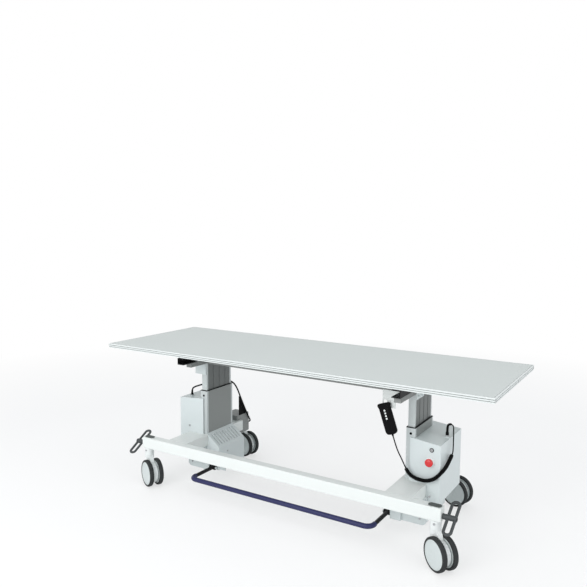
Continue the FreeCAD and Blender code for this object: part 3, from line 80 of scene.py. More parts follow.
# Materials. Each look: colour and the second colour that clouds it, noise scales per metre, roughness
# range, bump height in metres, radius of the softened edges and how much they wear, clear coat and
# gloss. What a look doesn't name comes from the plain one.
plain = {
    "second": None, "cloud": 6, "grain": 900, "stretch": (1, 1, 1), "rough": (0.42, 0.55), "metal": 0,
    "bump": 0.00003, "edge": 0.0008, "wear": 0.25, "coat": 0, "gloss": 0.5,
}
looks = {
    "laminate": {"color": (0.61, 0.65, 0.63), "second": (0.56, 0.60, 0.58), "cloud": 2.2, "grain": 1400,
                 "rough": (0.40, 0.50), "bump": 0.00002, "gloss": 0.35},
    "edge_aluminium": {"color": (0.74, 0.775, 0.765), "second": (0.68, 0.715, 0.705), "metal": 0.12,
                       "grain": 500, "stretch": (0.02, 1, 1), "rough": (0.35, 0.50), "edge": 0.0005},
    "aluminium": {"color": (0.52, 0.55, 0.56), "metal": 0.8, "grain": 700, "stretch": (0.02, 1, 1),
                  "rough": (0.32, 0.48)},
    "column_metal": {"color": (0.58, 0.62, 0.62), "second": (0.52, 0.56, 0.56), "metal": 0.35,
                     "stretch": (1, 1, 0.015), "rough": (0.34, 0.48), "edge": 0.0012},
    "black_metal": {"color": (0.008, 0.008, 0.009), "second": (0.014, 0.014, 0.015),
                    "rough": (0.38, 0.5), "gloss": 0.12, "wear": 0.05},
    "white_paint": {"color": (0.78, 0.81, 0.79), "second": (0.74, 0.77, 0.75), "grain": 1100,
                    "rough": (0.34, 0.44), "coat": 0.2, "edge": 0.0015, "wear": 0.1},
    "grey_paint": {"color": (0.66, 0.715, 0.715), "second": (0.61, 0.665, 0.665), "grain": 1300,
                   "rough": (0.36, 0.48), "coat": 0.15, "edge": 0.0018},
    "dark_paint": {"color": (0.19, 0.20, 0.195), "second": (0.30, 0.31, 0.30), "cloud": 60,
                   "grain": 700, "rough": (0.45, 0.62), "bump": 0.00008},
    "steel": {"color": (0.50, 0.51, 0.52), "metal": 1, "rough": (0.22, 0.36)},
    "black_plastic": {"color": (0.0035, 0.0035, 0.004), "second": (0.007, 0.007, 0.0075), "grain": 1500,
                      "rough": (0.40, 0.56), "bump": 0.00005, "gloss": 0.05, "wear": 0.03},
    "dark_plastic": {"color": (0.050, 0.055, 0.057), "second": (0.075, 0.082, 0.084), "grain": 1500,
                     "rough": (0.42, 0.6), "bump": 0.00006, "gloss": 0.3},
    "white_plastic": {"color": (0.80, 0.83, 0.82), "second": (0.75, 0.78, 0.77), "grain": 1500,
                      "rough": (0.38, 0.5)},
    "wheel_grey": {"color": (0.62, 0.665, 0.66), "second": (0.56, 0.61, 0.60), "grain": 1500,
                   "rough": (0.36, 0.48), "bump": 0.00004},
    "tread_rubber": {"color": (0.022, 0.024, 0.025), "second": (0.050, 0.053, 0.053), "cloud": 40,
                     "grain": 1800, "rough": (0.62, 0.8), "bump": 0.00012, "gloss": 0.15},
    "cord_rubber": {"color": (0.0025, 0.0025, 0.003), "second": (0.006, 0.006, 0.006), "grain": 2500,
                    "rough": (0.42, 0.58), "edge": 0.0002, "gloss": 0.07, "wear": 0},
    "sleeve_blue": {"color": (0.022, 0.024, 0.088), "second": (0.032, 0.035, 0.110), "grain": 1600,
                    "rough": (0.34, 0.5), "bump": 0.00007, "gloss": 0.25, "wear": 0.1},
    "stop_red": {"color": (0.68, 0.018, 0.022), "second": (0.60, 0.012, 0.016), "grain": 1500,
                 "rough": (0.22, 0.32), "coat": 0.4},
}

# Flecks where the grain is high, and paler paint where the softened edge turns away from the face.
finish = {
    "second": 0.9, "cloudDetail": 5, "grainDetail": 3, "fleckFrom": 0.35, "fleckTo": 0.65,
    "fleckShare": 0.12, "fleck": 0.6, "flat": 0.99, "turned": 0.8, "wornLift": 0.12, "wornGain": 1.15,
    "edgeSamples": 4,
}

# Painted bands, in metres: the columns' darker inserts, painted shade in the table edge's grooves,
# the seam round the panel and the grey caps at the beam's ends.
columnInsert = {"outer_columns": (0.245, 0.262, 0.255), "inner_columns": (0.135, 0.146, 0.143),
                "margin": 0.013}
# Painted shade for the grooves of the table edge: a dark colour and the heights of its two bands.
grooveShade = {"color": (0.20, 0.215, 0.21), "heights": ((0.7812, 0.7838), (0.7902, 0.7928))}
panelSeam = {"color": (0.10, 0.11, 0.11), "width": 0.0015}
beamCap = {"color": (0.095, 0.105, 0.100), "front": -1, "back": -0.25}


# Adds a shader node and sets its sockets by name.
def node(tree, kind, **values):
    made = tree.nodes.new("ShaderNode" + kind)
    for name, value in values.items():
        made.inputs[name].default_value = value
    return made


def blendColors(tree, factor, first, second):
    mix = tree.nodes.new("ShaderNodeMix")
    mix.data_type = "RGBA"
    tree.links.new(factor, mix.inputs["Factor"])
    for socket, value in ((mix.inputs[6], first), (mix.inputs[7], second)):
        if isinstance(value, tuple):
            socket.default_value = (*value, 1)
        else:
            tree.links.new(value, socket)
    return mix.outputs[2]


# The cloud noise mixes the two colours, the grain noise adds flecks, roughness and bump, and worn is
# the colour times the gain plus the lift.
def makeMaterial(name, look):
    look = {**plain, **look}
    material = bpy.data.materials.new(name)
    material.use_nodes = True
    material.diffuse_color = (*look["color"], 1)
    tree = material.node_tree
    link = tree.links.new
    shader = tree.nodes["Principled BSDF"]
    shader.inputs["Metallic"].default_value = look["metal"]
    shader.inputs["Coat Weight"].default_value = look["coat"]
    shader.inputs["Specular IOR Level"].default_value = look["gloss"]
    place = tree.nodes.new("ShaderNodeTexCoord")
    stretch = node(tree, "Mapping", Scale=look["stretch"])
    link(place.outputs["Object"], stretch.inputs["Vector"])
    grain = node(tree, "TexNoise", Scale=look["grain"], Detail=finish["grainDetail"])
    link(stretch.outputs["Vector"], grain.inputs["Vector"])
    cloud = node(tree, "TexNoise", Scale=look["cloud"], Detail=finish["cloudDetail"])
    link(place.outputs["Object"], cloud.inputs["Vector"])
    second = look["second"] or tuple(finish["second"] * value for value in look["color"])
    color = blendColors(tree, cloud.outputs["Fac"], look["color"], second)
    fleck = node(tree, "MapRange", **{"From Min": finish["fleckFrom"], "From Max": finish["fleckTo"],
                                      "To Min": 0, "To Max": finish["fleckShare"]})
    link(grain.outputs["Fac"], fleck.inputs["Value"])
    flecked = tuple(finish["fleck"] * value for value in look["color"])
    color = blendColors(tree, fleck.outputs["Result"], color, flecked)
    rounded = node(tree, "Bevel", Radius=look["edge"])
    rounded.samples = finish["edgeSamples"]
    facing = tree.nodes.new("ShaderNodeNewGeometry")
    turn = tree.nodes.new("ShaderNodeVectorMath")
    turn.operation = "DOT_PRODUCT"
    link(rounded.outputs["Normal"], turn.inputs[0])
    link(facing.outputs["Normal"], turn.inputs[1])
    wear = node(tree, "MapRange", **{"From Min": finish["flat"], "From Max": finish["turned"],
                                     "To Min": 0, "To Max": look["wear"]})
    link(turn.outputs["Value"], wear.inputs["Value"])
    worn = tuple(min(1, finish["wornLift"] + finish["wornGain"] * value) for value in look["color"])
    color = blendColors(tree, wear.outputs["Result"], color, worn)
    rough = node(tree, "MapRange", **{"To Min": look["rough"][0], "To Max": look["rough"][1]})
    link(grain.outputs["Fac"], rough.inputs["Value"])
    link(rough.outputs["Result"], shader.inputs["Roughness"])
    bump = node(tree, "Bump", Strength=1, Distance=look["bump"])
    link(grain.outputs["Fac"], bump.inputs["Height"])
    link(rounded.outputs["Normal"], bump.inputs["Normal"])
    link(bump.outputs["Normal"], shader.inputs["Normal"])
    link(color, shader.inputs["Base Color"])
    return material


# Paints a band between two planes square to an axis over a material's own colour: the band is where
# the distance from its middle is under half its width.
def paintBand(material, axis, low, high, color):
    tree = material.node_tree
    link = tree.links.new
    shader = tree.nodes["Principled BSDF"]
    place = tree.nodes.new("ShaderNodeTexCoord")
    parts = tree.nodes.new("ShaderNodeSeparateXYZ")
    link(place.outputs["Object"], parts.inputs["Vector"])
    middle = node(tree, "Math")
    middle.operation = "SUBTRACT"
    middle.inputs[1].default_value = (low + high) / 2
    link(parts.outputs[axis], middle.inputs[0])
    away = tree.nodes.new("ShaderNodeMath")
    away.operation = "ABSOLUTE"
    link(middle.outputs["Value"], away.inputs[0])
    inside = tree.nodes.new("ShaderNodeMath")
    inside.operation = "LESS_THAN"
    inside.inputs[1].default_value = (high - low) / 2
    link(away.outputs["Value"], inside.inputs[0])
    painted = shader.inputs["Base Color"].links[0].from_socket
    link(blendColors(tree, inside.outputs["Value"], painted, color), shader.inputs["Base Color"])


materials = {name: makeMaterial(name, look) for name, look in looks.items()}


# Gives a piece its material: its own if one is given, else the look named by its slot of the record.
def paint(piece, slotName, own=None):
    piece.data.materials.clear()
    piece.data.materials.append(own or materials[slotName])
    return piece


for name, piece in frame["nodes"].items():
    paint(piece, slots[name])
for name in ("outer_columns", "inner_columns"):
    low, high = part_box(name)
    own = makeMaterial(name, looks["column_metal"])
    margin = columnInsert["margin"]
    paintBand(own, "Y", low.y + margin, high.y - margin, columnInsert[name])
    paint(frame["nodes"][name], "column_metal", own)
own = makeMaterial("beam_cap", looks["black_plastic"])
paintBand(own, "Y", beamCap["front"], beamCap["back"], beamCap["color"])
paint(frame["nodes"]["black_trim"], "black_plastic", own)
# Painted shade: the edge profile is painted darker in its two grooves, where shade falls.
for low, high in grooveShade["heights"]:
    paintBand(materials["edge_aluminium"], "Z", low, high, grooveShade["color"])
low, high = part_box("top_panel")
for axis, spots in (("X", (low.x, high.x)), ("Y", (low.y, high.y))):
    for spot in spots:
        paintBand(materials["laminate"], axis, spot - panelSeam["width"], spot + panelSeam["width"],
                  panelSeam["color"])
print("materials made:", len(materials))


# A smooth-shaded mesh with sharp edges kept above the crease angle.
def meshPiece(name, points, faces, creaseAngle=40):
    mesh = bpy.data.meshes.new(name)
    mesh.from_pydata(np.asarray(points).tolist(), [], [list(face) for face in faces])
    mesh.update()
    mesh.shade_smooth()
    mesh.set_sharp_from_angle(angle=math.radians(creaseAngle))
    piece = bpy.data.objects.new(name, mesh)
    bpy.context.scene.collection.objects.link(piece)
    return piece


# Two unit vectors square to an axis and to each other.
def crossFrame(axis):
    axis = np.asarray(axis, float) / np.linalg.norm(axis)
    helper = np.array((0, 0, 1.0)) if abs(axis[2]) < 0.9 else np.array((1.0, 0, 0))
    across = np.cross(axis, helper)
    across /= np.linalg.norm(across)
    return axis, across, np.cross(axis, across)


# Quads between neighbouring rings of points. An open row of rings gets a cap at both ends, and a
# closed one runs from the last ring back to the first.
def gridFaces(rings, around, closed=False):
    ring = np.arange(rings if closed else rings - 1)[:, None] * around
    step = np.arange(around)[None, :]
    following = (step + 1) % around
    ahead = (ring + around) % (rings * around)
    quads = np.stack((ring + step, ring + following, ahead + following, ahead + step), -1)
    quads = quads.reshape(-1, 4).tolist()
    if closed:
        return quads
    return quads + [list(range(around))[::-1], list(range((rings - 1) * around, rings * around))]


# Lathe: a point is the centre, plus its distance along the axis, plus its radius times the cosine
# and sine of the angle on the two cross vectors.
def turnedPiece(name, profile, centre, axis, around, closed=False):
    axis, across, upward = crossFrame(axis)
    radius, along = np.array(profile, float).T
    angle = np.linspace(0, 2 * math.pi, around, endpoint=False)
    circle = np.cos(angle)[:, None] * across + np.sin(angle)[:, None] * upward
    points = np.asarray(centre) + along[:, None, None] * axis + radius[:, None, None] * circle
    return meshPiece(name, points.reshape(-1, 3), gridFaces(len(profile), around, closed))


# The smooth line of a NURBS spline with the route's points as its control points.
def routeLine(points, resolution=10):
    curve = bpy.data.curves.new("route", "CURVE")
    curve.dimensions = "3D"
    curve.resolution_u = resolution
    spline = curve.splines.new("NURBS")
    spline.points.add(len(points) - 1)
    for target, point in zip(spline.points, points):
        target.co = (*point, 1)
    spline.order_u = 3
    spline.use_endpoint_u = True
    holder = bpy.data.objects.new("route", curve)
    bpy.context.scene.collection.objects.link(holder)
    bpy.context.view_layer.update()
    mesh = bpy.data.meshes.new_from_object(holder)
    line = np.zeros(len(mesh.vertices) * 3)
    mesh.vertices.foreach_get("co", line)
    bpy.data.objects.remove(holder)
    bpy.data.meshes.remove(mesh)
    return line.reshape(-1, 3)


# A round tube whose centre line is a polyline, as a mesh.
def tubeAlong(name, line, radius, sides=6, closed=False):
    curve = bpy.data.curves.new(name, "CURVE")
    curve.dimensions = "3D"
    curve.bevel_depth = radius
    curve.bevel_resolution = sides
    curve.use_fill_caps = not closed
    spline = curve.splines.new("POLY")
    spline.points.add(len(line) - 1)
    spline.points.foreach_set("co", np.c_[line, np.ones(len(line))].ravel())
    spline.use_cyclic_u = closed
    holder = bpy.data.objects.new(name + "_line", curve)
    bpy.context.scene.collection.objects.link(holder)
    bpy.context.view_layer.update()
    mesh = bpy.data.meshes.new_from_object(holder)
    bpy.data.objects.remove(holder)
    mesh.shade_smooth()
    piece = bpy.data.objects.new(name, mesh)
    bpy.context.scene.collection.objects.link(piece)
    return piece


def lengthOf(line):
    return float(np.linalg.norm(np.diff(line, axis=0), axis=1).sum())


# Casters: a dished disc with a raised rim, and a rubber tyre with a rounded tread. The disc's points
# are a radius and a depth below the face on that side, and at the rims a radius past the disc's own.
disc = {
    "width": 0.024, "around": 72, "back": ((0.007, 0), (0.016, 0), (0.0165, 0.001), (0.050, 0.0022)),
    "backRim": ((-0.002, 0.001), (0, 0.0018)), "frontRim": ((0, 0.0022), (-0.0012, 0.001)),
    "lip": ((0.0597, 0.001), (0.0583, 0.0026)), "bowl": (0.0565, 0.016), "bowlSteps": 6, "dish": 0.0016,
    "cap": ((0.015, 0.0001), (0.014, 0.0005), (0.0128, 0.0002), (0.001, 0)),
}
tyre = {"corner": 0.0065, "cornerSteps": 7, "groove": 0.0008, "mouth": 0.0016, "foot": 0.002,
        "footDepth": 0.0005, "around": 96}


# Radius and distance along the axle, from the inner hub out to the rim and back to the cap. The bowl
# is a parabola: its depth is the dish times one less the square of the share gone.
def discProfile(outer, half):
    start, end = disc["bowl"]
    shares = [k / disc["bowlSteps"] for k in range(disc["bowlSteps"])]
    bowl = [(start + (end - start) * share, disc["dish"] * (1 - share ** 2)) for share in shares]
    back = [*disc["back"], *((outer + past, depth) for past, depth in disc["backRim"])]
    rim = [(outer + past, depth) for past, depth in disc["frontRim"]]
    front = [*rim, *disc["lip"], *bowl, *disc["cap"]]
    return [(radius, depth - half) for radius, depth in back] + [(radius, half - depth)
                                                                 for radius, depth in front]


# Flat sides, quarter-round shoulders and one fine groove in the middle of the tread.
def tyreProfile(inner, outer, half):
    corner, floor, mouth = tyre["corner"], outer - tyre["groove"], tyre["mouth"]
    angle = np.linspace(0, math.pi / 2, tyre["cornerSteps"])
    shoulder = [(outer - corner + corner * math.sin(a), corner - half - corner * math.cos(a))
                for a in angle]
    groove = [(outer, -mouth), (floor, -mouth / 2)]
    left = [(inner, tyre["footDepth"] - half), (inner + tyre["foot"], -half), *shoulder, *groove]
    return left + [(radius, -along) for radius, along in reversed(left)]


def makeWheel(side, end, mark):
    tag = "%s_%s_%s" % (side, end, mark)
    joint = joints["roll_" + tag]
    centre = Vector(joint["pos_m"])
    pivot = Vector(joints["swivel_%s_%s" % (side, end)]["pos_m"])
    axle = Vector(joint["axis"])
    outward = axle if (centre - pivot).dot(axle) > 0 else -axle
    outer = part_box("tread_" + tag)[1].z / 2
    half = disc["width"] / 2
    low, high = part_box("wheel_" + tag)
    inner = (high.z - low.z) / 2
    wheel = turnedPiece("disc_" + tag, discProfile(inner, half), centre, outward, disc["around"])
    tread = turnedPiece("tyre_" + tag, tyreProfile(inner, outer, half), centre, outward, tyre["around"],
                        closed=True)
    for piece, slotName, old in ((wheel, "wheel_grey", "wheel_" + tag),
                                 (tread, "tread_rubber", "tread_" + tag)):
        paint(piece, slotName)
        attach(piece, "roller_" + tag)
        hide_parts(old)


for side in ("left", "right"):
    for end in ("front", "rear"):
        for mark in ("near", "far"):
            makeWheel(side, end, mark)
print("wheels made")


# Brake pedals: two stadium loops of rounded bar with a ribbed hub on the shaft.
pedal = {"bar": 0.0070, "squash": 0.0060, "barSides": 5, "length": 0.180, "width": 0.047,
         "corner": 0.0150, "cornerSteps": 7, "middle": 0.0060, "tilt": 32, "beamGap": 0.0005}
hub = {"radius": 0.013, "around": 40, "endDrop": 0.002, "endReach": 0.0015, "ribs": 5, "margin": 0.004,
       "rib": 0.0007, "ribSteps": ((0, 0), (0.25, 1), (0.6, 1), (0.85, 0))}


# Closed rounded rectangle: each corner is a quarter circle of the corner radius, a quarter turn on
# from the one before it.
def stadium(low, high, half):
    corner = pedal["corner"]
    quarter = np.linspace(0, math.pi / 2, pedal["cornerSteps"])
    spots = []
    for turn, (cornerX, cornerY) in enumerate(((half, high), (-half, high), (-half, low), (half, low))):
        middleX = cornerX - math.copysign(corner, cornerX)
        middleY = cornerY - corner if cornerY == high else cornerY + corner
        angle = quarter + turn * math.pi / 2
        spots.append(np.c_[middleX + corner * np.cos(angle), middleY + corner * np.sin(angle)])
    flat = np.concatenate(spots)
    return np.c_[flat, np.zeros(len(flat))]


# Radius along the hub: even ribs, between two rounded ends. Each step of a rib is a share of its pitch
# and of its depth.
def ribbedHub(length):
    radius, endDrop, endReach = hub["radius"], hub["endDrop"], hub["endReach"]
    pitch = (length - 2 * hub["margin"]) / hub["ribs"]
    spots = [(radius - endDrop, 0), (radius, endReach)]
    for k in range(hub["ribs"]):
        spots += [(radius - depth * hub["rib"], hub["margin"] + (k + share) * pitch)
                  for share, depth in hub["ribSteps"]]
    return [*spots, (radius, length - endReach), (radius - endDrop, length)]


# The loops are drawn flat, pressed to the bar's thickness, tilted and set on the shaft beside the beam.
# Each hub runs from just off the beam's end to the pedal's outer side.
def makePedals():
    pivot = Vector(joints["brake_pedal_shaft"]["pos_m"])
    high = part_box("brake_pedals")[1]
    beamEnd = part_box("base_beam")[1].x
    tilt = Matrix.Rotation(math.radians(pedal["tilt"]), 4, "X")
    bar, middle = pedal["bar"], pedal["middle"]
    half, reach = pedal["width"] / 2 - bar, pedal["length"] / 2 - bar
    hubLength = high.x - beamEnd - pedal["beamGap"]
    for sign, side in ((-1, "left"), (1, "right")):
        centre = Vector((sign * (high.x - pedal["width"] / 2), pivot.y, pivot.z))
        start = Vector((sign * (high.x - hubLength), pivot.y, pivot.z))
        ribbed = turnedPiece("pedal_hub_" + side, ribbedHub(hubLength), start, (sign, 0, 0),
                             hub["around"])
        for k, loop in enumerate((stadium(-reach, middle, half), stadium(-middle, reach, half))):
            ring = tubeAlong("pedal_%s_%d" % (side, k), loop, bar, pedal["barSides"], closed=True)
            ring.data.transform(Matrix.Diagonal((1, 1, pedal["squash"] / bar, 1)))
            ring.data.transform(Matrix.Translation(centre) @ tilt)
            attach(paint(ring, "dark_plastic"), "pedals")
        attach(paint(ribbed, "dark_plastic"), "pedals")
        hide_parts("brake_pedals")


makePedals()
print("pedals made")


# Handset: a lofted shell, a peg on its back, a strain relief at its foot and a thin plate round the
# keys, all in a frame along its length. The peg's and the relief's points are a radius and a place
# along the axis; the plate's outline is a place down the handset and a half width; its rims are a
# height over the face and the outline's shares in length and width.
handset = {
    "tilt": 19, "centre": (0.567, -0.1935, 0.583), "half": 0.075, "wide": 0.029, "head": 0.033,
    "deep": 0.012, "neck": (0.010, 0.024), "headCorner": 0.008, "footCorner": 0.018, "edge": 0.005,
    "power": 4.5, "along": 48, "around": 56, "crease": 50, "turned": 28, "pegPlace": 0.063,
    "peg": ((0.005, -0.002), (0.005, 0.0038), (0.009, 0.0038), (0.009, 0.006), (0.008, 0.0072)),
    "relief": ((0.0055, -0.004), (0.0056, 0), (0.0049, 0.001), (0.0053, 0.002), (0.0045, 0.004),
               (0.0049, 0.005), (0.0040, 0.007), (0.0044, 0.008), (0.0034, 0.011), (0.0030, 0.012)),
    "plate": ((-0.052, 0.0215), (-0.050, 0.0225), (0.010, 0.0215), (0.012, 0.0205)), "plateCrease": 30,
    "plateRims": ((-0.0011, 1, 1), (-0.0001, 1, 1), (0.0002, 0.99, 0.96)),
}


# Three unit vectors: down the handset, across it and out of its face.
def handsetFrame():
    tilt = math.radians(handset["tilt"])
    down = np.array((math.sin(tilt), 0, -math.cos(tilt)))
    across = np.array((math.cos(tilt), 0, math.sin(tilt)))
    return down, across, np.array((0, -1.0, 0))


# Quarter circle at an end: the size, less the corner radius, plus the root of the radius squared less
# the square of how much nearer to the end than the radius the place is.
def roundedEnd(size, away, radius):
    nearer = np.clip(radius - away, 0, radius)
    return size - radius + np.sqrt(radius * radius - nearer * nearer)


# Loft: at each station the section is cos and sin of the angle, signs kept, to two over the power, times
# half width and half depth, so the corners are rounded. The width eases from head to grip over the neck.
def handsetShell(down, across, outward):
    half, head, deep, edge = (handset[key] for key in ("half", "head", "deep", "edge"))
    along = half * np.sin(np.linspace(-math.pi / 2, math.pi / 2, handset["along"]))
    neckStart, neckEnd = handset["neck"]
    ease = np.clip((along + half - neckStart) / (neckEnd - neckStart), 0, 1)
    width = head + (handset["wide"] - head) * ease * ease * (3 - 2 * ease)
    width = roundedEnd(width, along + half, handset["headCorner"])
    width = roundedEnd(width, half - along, handset["footCorner"])
    depth = roundedEnd(roundedEnd(deep, along + half, edge), half - along, edge)
    angle = np.linspace(0, 2 * math.pi, handset["around"], endpoint=False)
    bend = 2 / handset["power"]
    sideways = np.sign(np.cos(angle)) * np.abs(np.cos(angle)) ** bend
    forward = np.sign(np.sin(angle)) * np.abs(np.sin(angle)) ** bend
    points = np.array(handset["centre"]) + along[:, None, None] * down
    points = points + (width[:, None] * sideways)[..., None] * across
    points = points + (depth[:, None] * forward)[..., None] * outward
    faces = gridFaces(len(along), len(angle))
    return meshPiece("handset_body", points.reshape(-1, 3), faces, handset["crease"])


# The outline down one side and back up the other, once for each rim.
def handsetPlate(down, across, outward):
    place, half = np.array(handset["plate"]).T
    place, side = np.r_[place, place[::-1]][:, None], np.r_[-half, half[::-1]][:, None]
    centre = np.array(handset["centre"])
    rims = [centre + (handset["deep"] + height) * outward + place * long * down + side * wide * across
            for height, long, wide in handset["plateRims"]]
    faces = gridFaces(len(rims), len(place))
    return meshPiece("handset_plate", np.concatenate(rims), faces, handset["plateCrease"])


# Makes the four pieces and gives back the relief's tip, where the lead starts.
def makeHandset():
    down, across, outward = handsetFrame()
    centre = np.array(handset["centre"])
    foot = centre + down * handset["half"]
    back = centre - down * handset["pegPlace"] - outward * handset["deep"]
    shell = handsetShell(down, across, outward)
    pieces = [shell, turnedPiece("handset_relief", handset["relief"], foot, down, handset["turned"]),
              turnedPiece("handset_peg", handset["peg"], back, -outward, handset["turned"]),
              handsetPlate(down, across, outward)]
    for piece in pieces:
        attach(paint(piece, "black_plastic"), "lift")
    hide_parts("handset_shell")
    return foot + down * handset["relief"][-1][1]


cordStart = makeHandset()
print("handset made")


# Emergency stop: a domed mushroom with a grip ring on a pale collar. Key lock: a dark ring. The grip's
# points are a radius past the button's own and a height, and the collar's edge points are how far they
# lie inside its radius and below its rise.
stop = {
    "radius": 0.019, "rise": 0.012, "dome": 0.0040, "ring": 0.0012, "ringAt": 0.0125,
    "ringWidth": 0.0016, "crown": (0.15, 1.5), "crownSteps": 17, "stem": ((0.007, -0.006), (0.007, 0)),
    "grip": ((-0.003, 0), (-0.001, 0.0006), (0, 0.002), (-0.0006, 0.003), (0, 0.004),
             (-0.0006, 0.005), (0, 0.006)),
    "around": 48,
}
collar = {"radius": 0.022, "rise": 0.006, "bore": 0.00705, "back": 0.015, "neck": 0.011,
          "edge": ((0, 0.0022), (0.0006, 0.001), (0.0018, 0)), "around": 48}
lock = {"outer": 0.0104, "inner": 0.0072, "rise": 0.0009, "depth": 0.0012, "chamfer": 0.0005,
        "chamferDrop": 0.0004, "around": 40}


# The crown is a flat ellipse, less a ring-shaped dip: its depth times e to the minus square of the
# distance from the ring over the ring's width.
def makeButton():
    low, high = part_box("estop_button")
    centre = (low + high) / 2
    radius, rise, dome = stop["radius"], stop["rise"], stop["dome"]
    angle = np.linspace(*stop["crown"], stop["crownSteps"])
    place = radius * np.cos(angle)
    dip = stop["ring"] * np.exp(-((place - stop["ringAt"]) / stop["ringWidth"]) ** 2)
    crown = np.c_[place, rise - dome + dome * np.sin(angle) - dip].tolist()
    grip = [(radius + past, height) for past, height in stop["grip"]]
    outward = -Vector(joints["stop_push"]["axis"])
    button = turnedPiece("stop_button", [*stop["stem"], *grip, *crown],
                         (centre.x, low.y + rise, centre.z), outward, stop["around"])
    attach(paint(button, "stop_red"), "estop")
    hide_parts("estop_button")


def makeCollar():
    low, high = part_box("estop_collar")
    centre = (low + high) / 2
    outer, rise, bore, back, neck = (collar[key] for key in ("radius", "rise", "bore", "back", "neck"))
    edge = [(outer - inside, rise - below) for inside, below in collar["edge"]]
    profile = [(bore, -back), (neck, -back), (neck, 0), (outer, 0), *edge, (bore, rise)]
    ring = turnedPiece("stop_collar", profile, (centre.x, low.y + rise, centre.z), (0, -1, 0),
                       collar["around"], closed=True)
    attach(paint(ring, "white_plastic"), "base")
    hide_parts("estop_collar")


def makeLock():
    low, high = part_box("key_barrel")
    centre = (low + high) / 2
    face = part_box("right_cover")[0].y
    outer, inner, rise, chamfer = (lock[key] for key in ("outer", "inner", "rise", "chamfer"))
    side = rise - lock["chamferDrop"]
    profile = [(inner, -lock["depth"]), (outer, -lock["depth"]), (outer, side), (outer - chamfer, rise),
               (inner + chamfer, rise), (inner, side)]
    ring = turnedPiece("lock_ring", profile, (centre.x, face, centre.z), (0, -1, 0), lock["around"],
                       closed=True)
    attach(paint(ring, "black_plastic"), "base")


makeButton()
makeCollar()
makeLock()
print("stop button and lock made")


# Cords. The points are the control points of each route, in metres. The helpers are directions that no
# route runs along, which the turns and ribs are counted from.
leadDiameter = 0.006
linkDiameter = 0.009
curl = {"outer": 0.019, "wire": 0.0056, "wireSides": 3, "pitch": 0.0060, "perTurn": 18, "taper": 0.008,
        "helper": (0.5, -0.6, 0.62)}
relief = {"wide": 0.0056, "narrow": 0.0048, "rib": 0.0009, "ribSteps": 12, "steepness": 4, "around": 24,
          "helper": (0.31, 0.92, 0.13)}
fineSteps = 24
curlStart = (0.637, -0.135, 0.341)
curlEnd = (0.812, 0.016, 0.392)
handsetRoute = [tuple(cordStart), (0.607045, -0.1935, 0.466701), (0.615133, -0.180045, 0.428991),
                (0.622921, -0.151965, 0.386252), (0.629, -0.139, 0.360), curlStart]
curlRoute = [curlStart, (0.647, -0.130, 0.31725), (0.669, -0.1295, 0.302), (0.700, -0.129, 0.294),
             (0.738, -0.129, 0.294), (0.775, -0.130, 0.311), (0.799, -0.125, 0.335),
             (0.812, -0.102, 0.353), (0.815, -0.055, 0.366), curlEnd]
glandRoute = [curlEnd, (0.811598, 0.025514, 0.395484), (0.8112, 0.033, 0.406), (0.811, 0.035, 0.420),
              (0.811, 0.035, 0.452), (0.811, 0.034, 0.485), (0.811, 0.032, 0.505),
              (0.811, 0.031, 0.527), (0.8025, 0.030, 0.5355), (0.7905, 0.029, 0.5355),
              (0.782, 0.028, 0.527), (0.782, 0.028, 0.503)]
linkRoute = [(-0.748, -0.058, 0.491), (-0.748, -0.058, 0.506), (-0.748, -0.050, 0.517),
             (-0.748, -0.030, 0.521), (-0.748, 0.010, 0.521), (-0.748, 0.080, 0.519),
             (-0.742, 0.135, 0.520), (-0.722, 0.166, 0.523), (-0.690, 0.178, 0.526),
             (-0.645, 0.181, 0.528), (-0.618, 0.186, 0.512), (-0.604, 0.198, 0.478),
             (-0.600, 0.218, 0.432), (-0.601, 0.258, 0.362), (-0.602, 0.300, 0.292),
             (-0.604, 0.330, 0.252), (-0.612, 0.343, 0.236), (-0.632, 0.346, 0.228),
             (-0.661, 0.346, 0.228)]


def plainCord(name, route, diameter, replaced):
    line = routeLine(route)
    piece = paint(tubeAlong(name, line, diameter / 2), "cord_rubber")
    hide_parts(replaced)
    return piece


# The length gone at each point of a fine line along the route, and the line.
def walkRoute(route):
    line = routeLine(route, fineSteps)
    return np.concatenate(([0], np.cumsum(np.linalg.norm(np.diff(line, axis=0), axis=1)))), line


def placesAt(along, gone, line):
    return np.stack([np.interp(along, gone, line[:, axis]) for axis in range(3)], -1)


# Circles square to a line: each point is the line's, plus its radius times the cosine and sine of the
# angle on two vectors square to the line and to each other.
def roundLine(line, radius, angle, helper):
    ahead = np.gradient(line, axis=0)
    ahead /= np.linalg.norm(ahead, axis=1)[:, None]
    across = np.cross(ahead, helper)
    across /= np.linalg.norm(across, axis=1)[:, None]
    upward = np.cross(ahead, across)
    line, across, upward = line[:, None], across[:, None], upward[:, None]
    turn = np.cos(angle)[..., None] * across + np.sin(angle)[..., None] * upward
    return line + radius[:, None, None] * turn


# A ribbed strain relief: its radius falls evenly along the cord from the nut, and each rib adds its
# height times a steepened sine of the place along its pitch, kept between nothing and one.
def strainRelief(name, route, reach, ribs):
    along = np.linspace(0, reach, ribs * relief["ribSteps"] + 1)
    wave = np.clip(relief["steepness"] * np.sin(2 * math.pi * ribs * along / reach), 0, 1)
    radius = relief["wide"] + (relief["narrow"] - relief["wide"]) * along / reach + relief["rib"] * wave
    radius[-1] = relief["narrow"] - relief["rib"]
    angle = np.linspace(0, 2 * math.pi, relief["around"], endpoint=False)[None, :]
    points = roundLine(placesAt(along, *walkRoute(route)), radius, angle, relief["helper"])
    sleeve = meshPiece(name, points.reshape(-1, 3), gridFaces(len(along), relief["around"]))
    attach(paint(sleeve, "black_plastic"), "base")


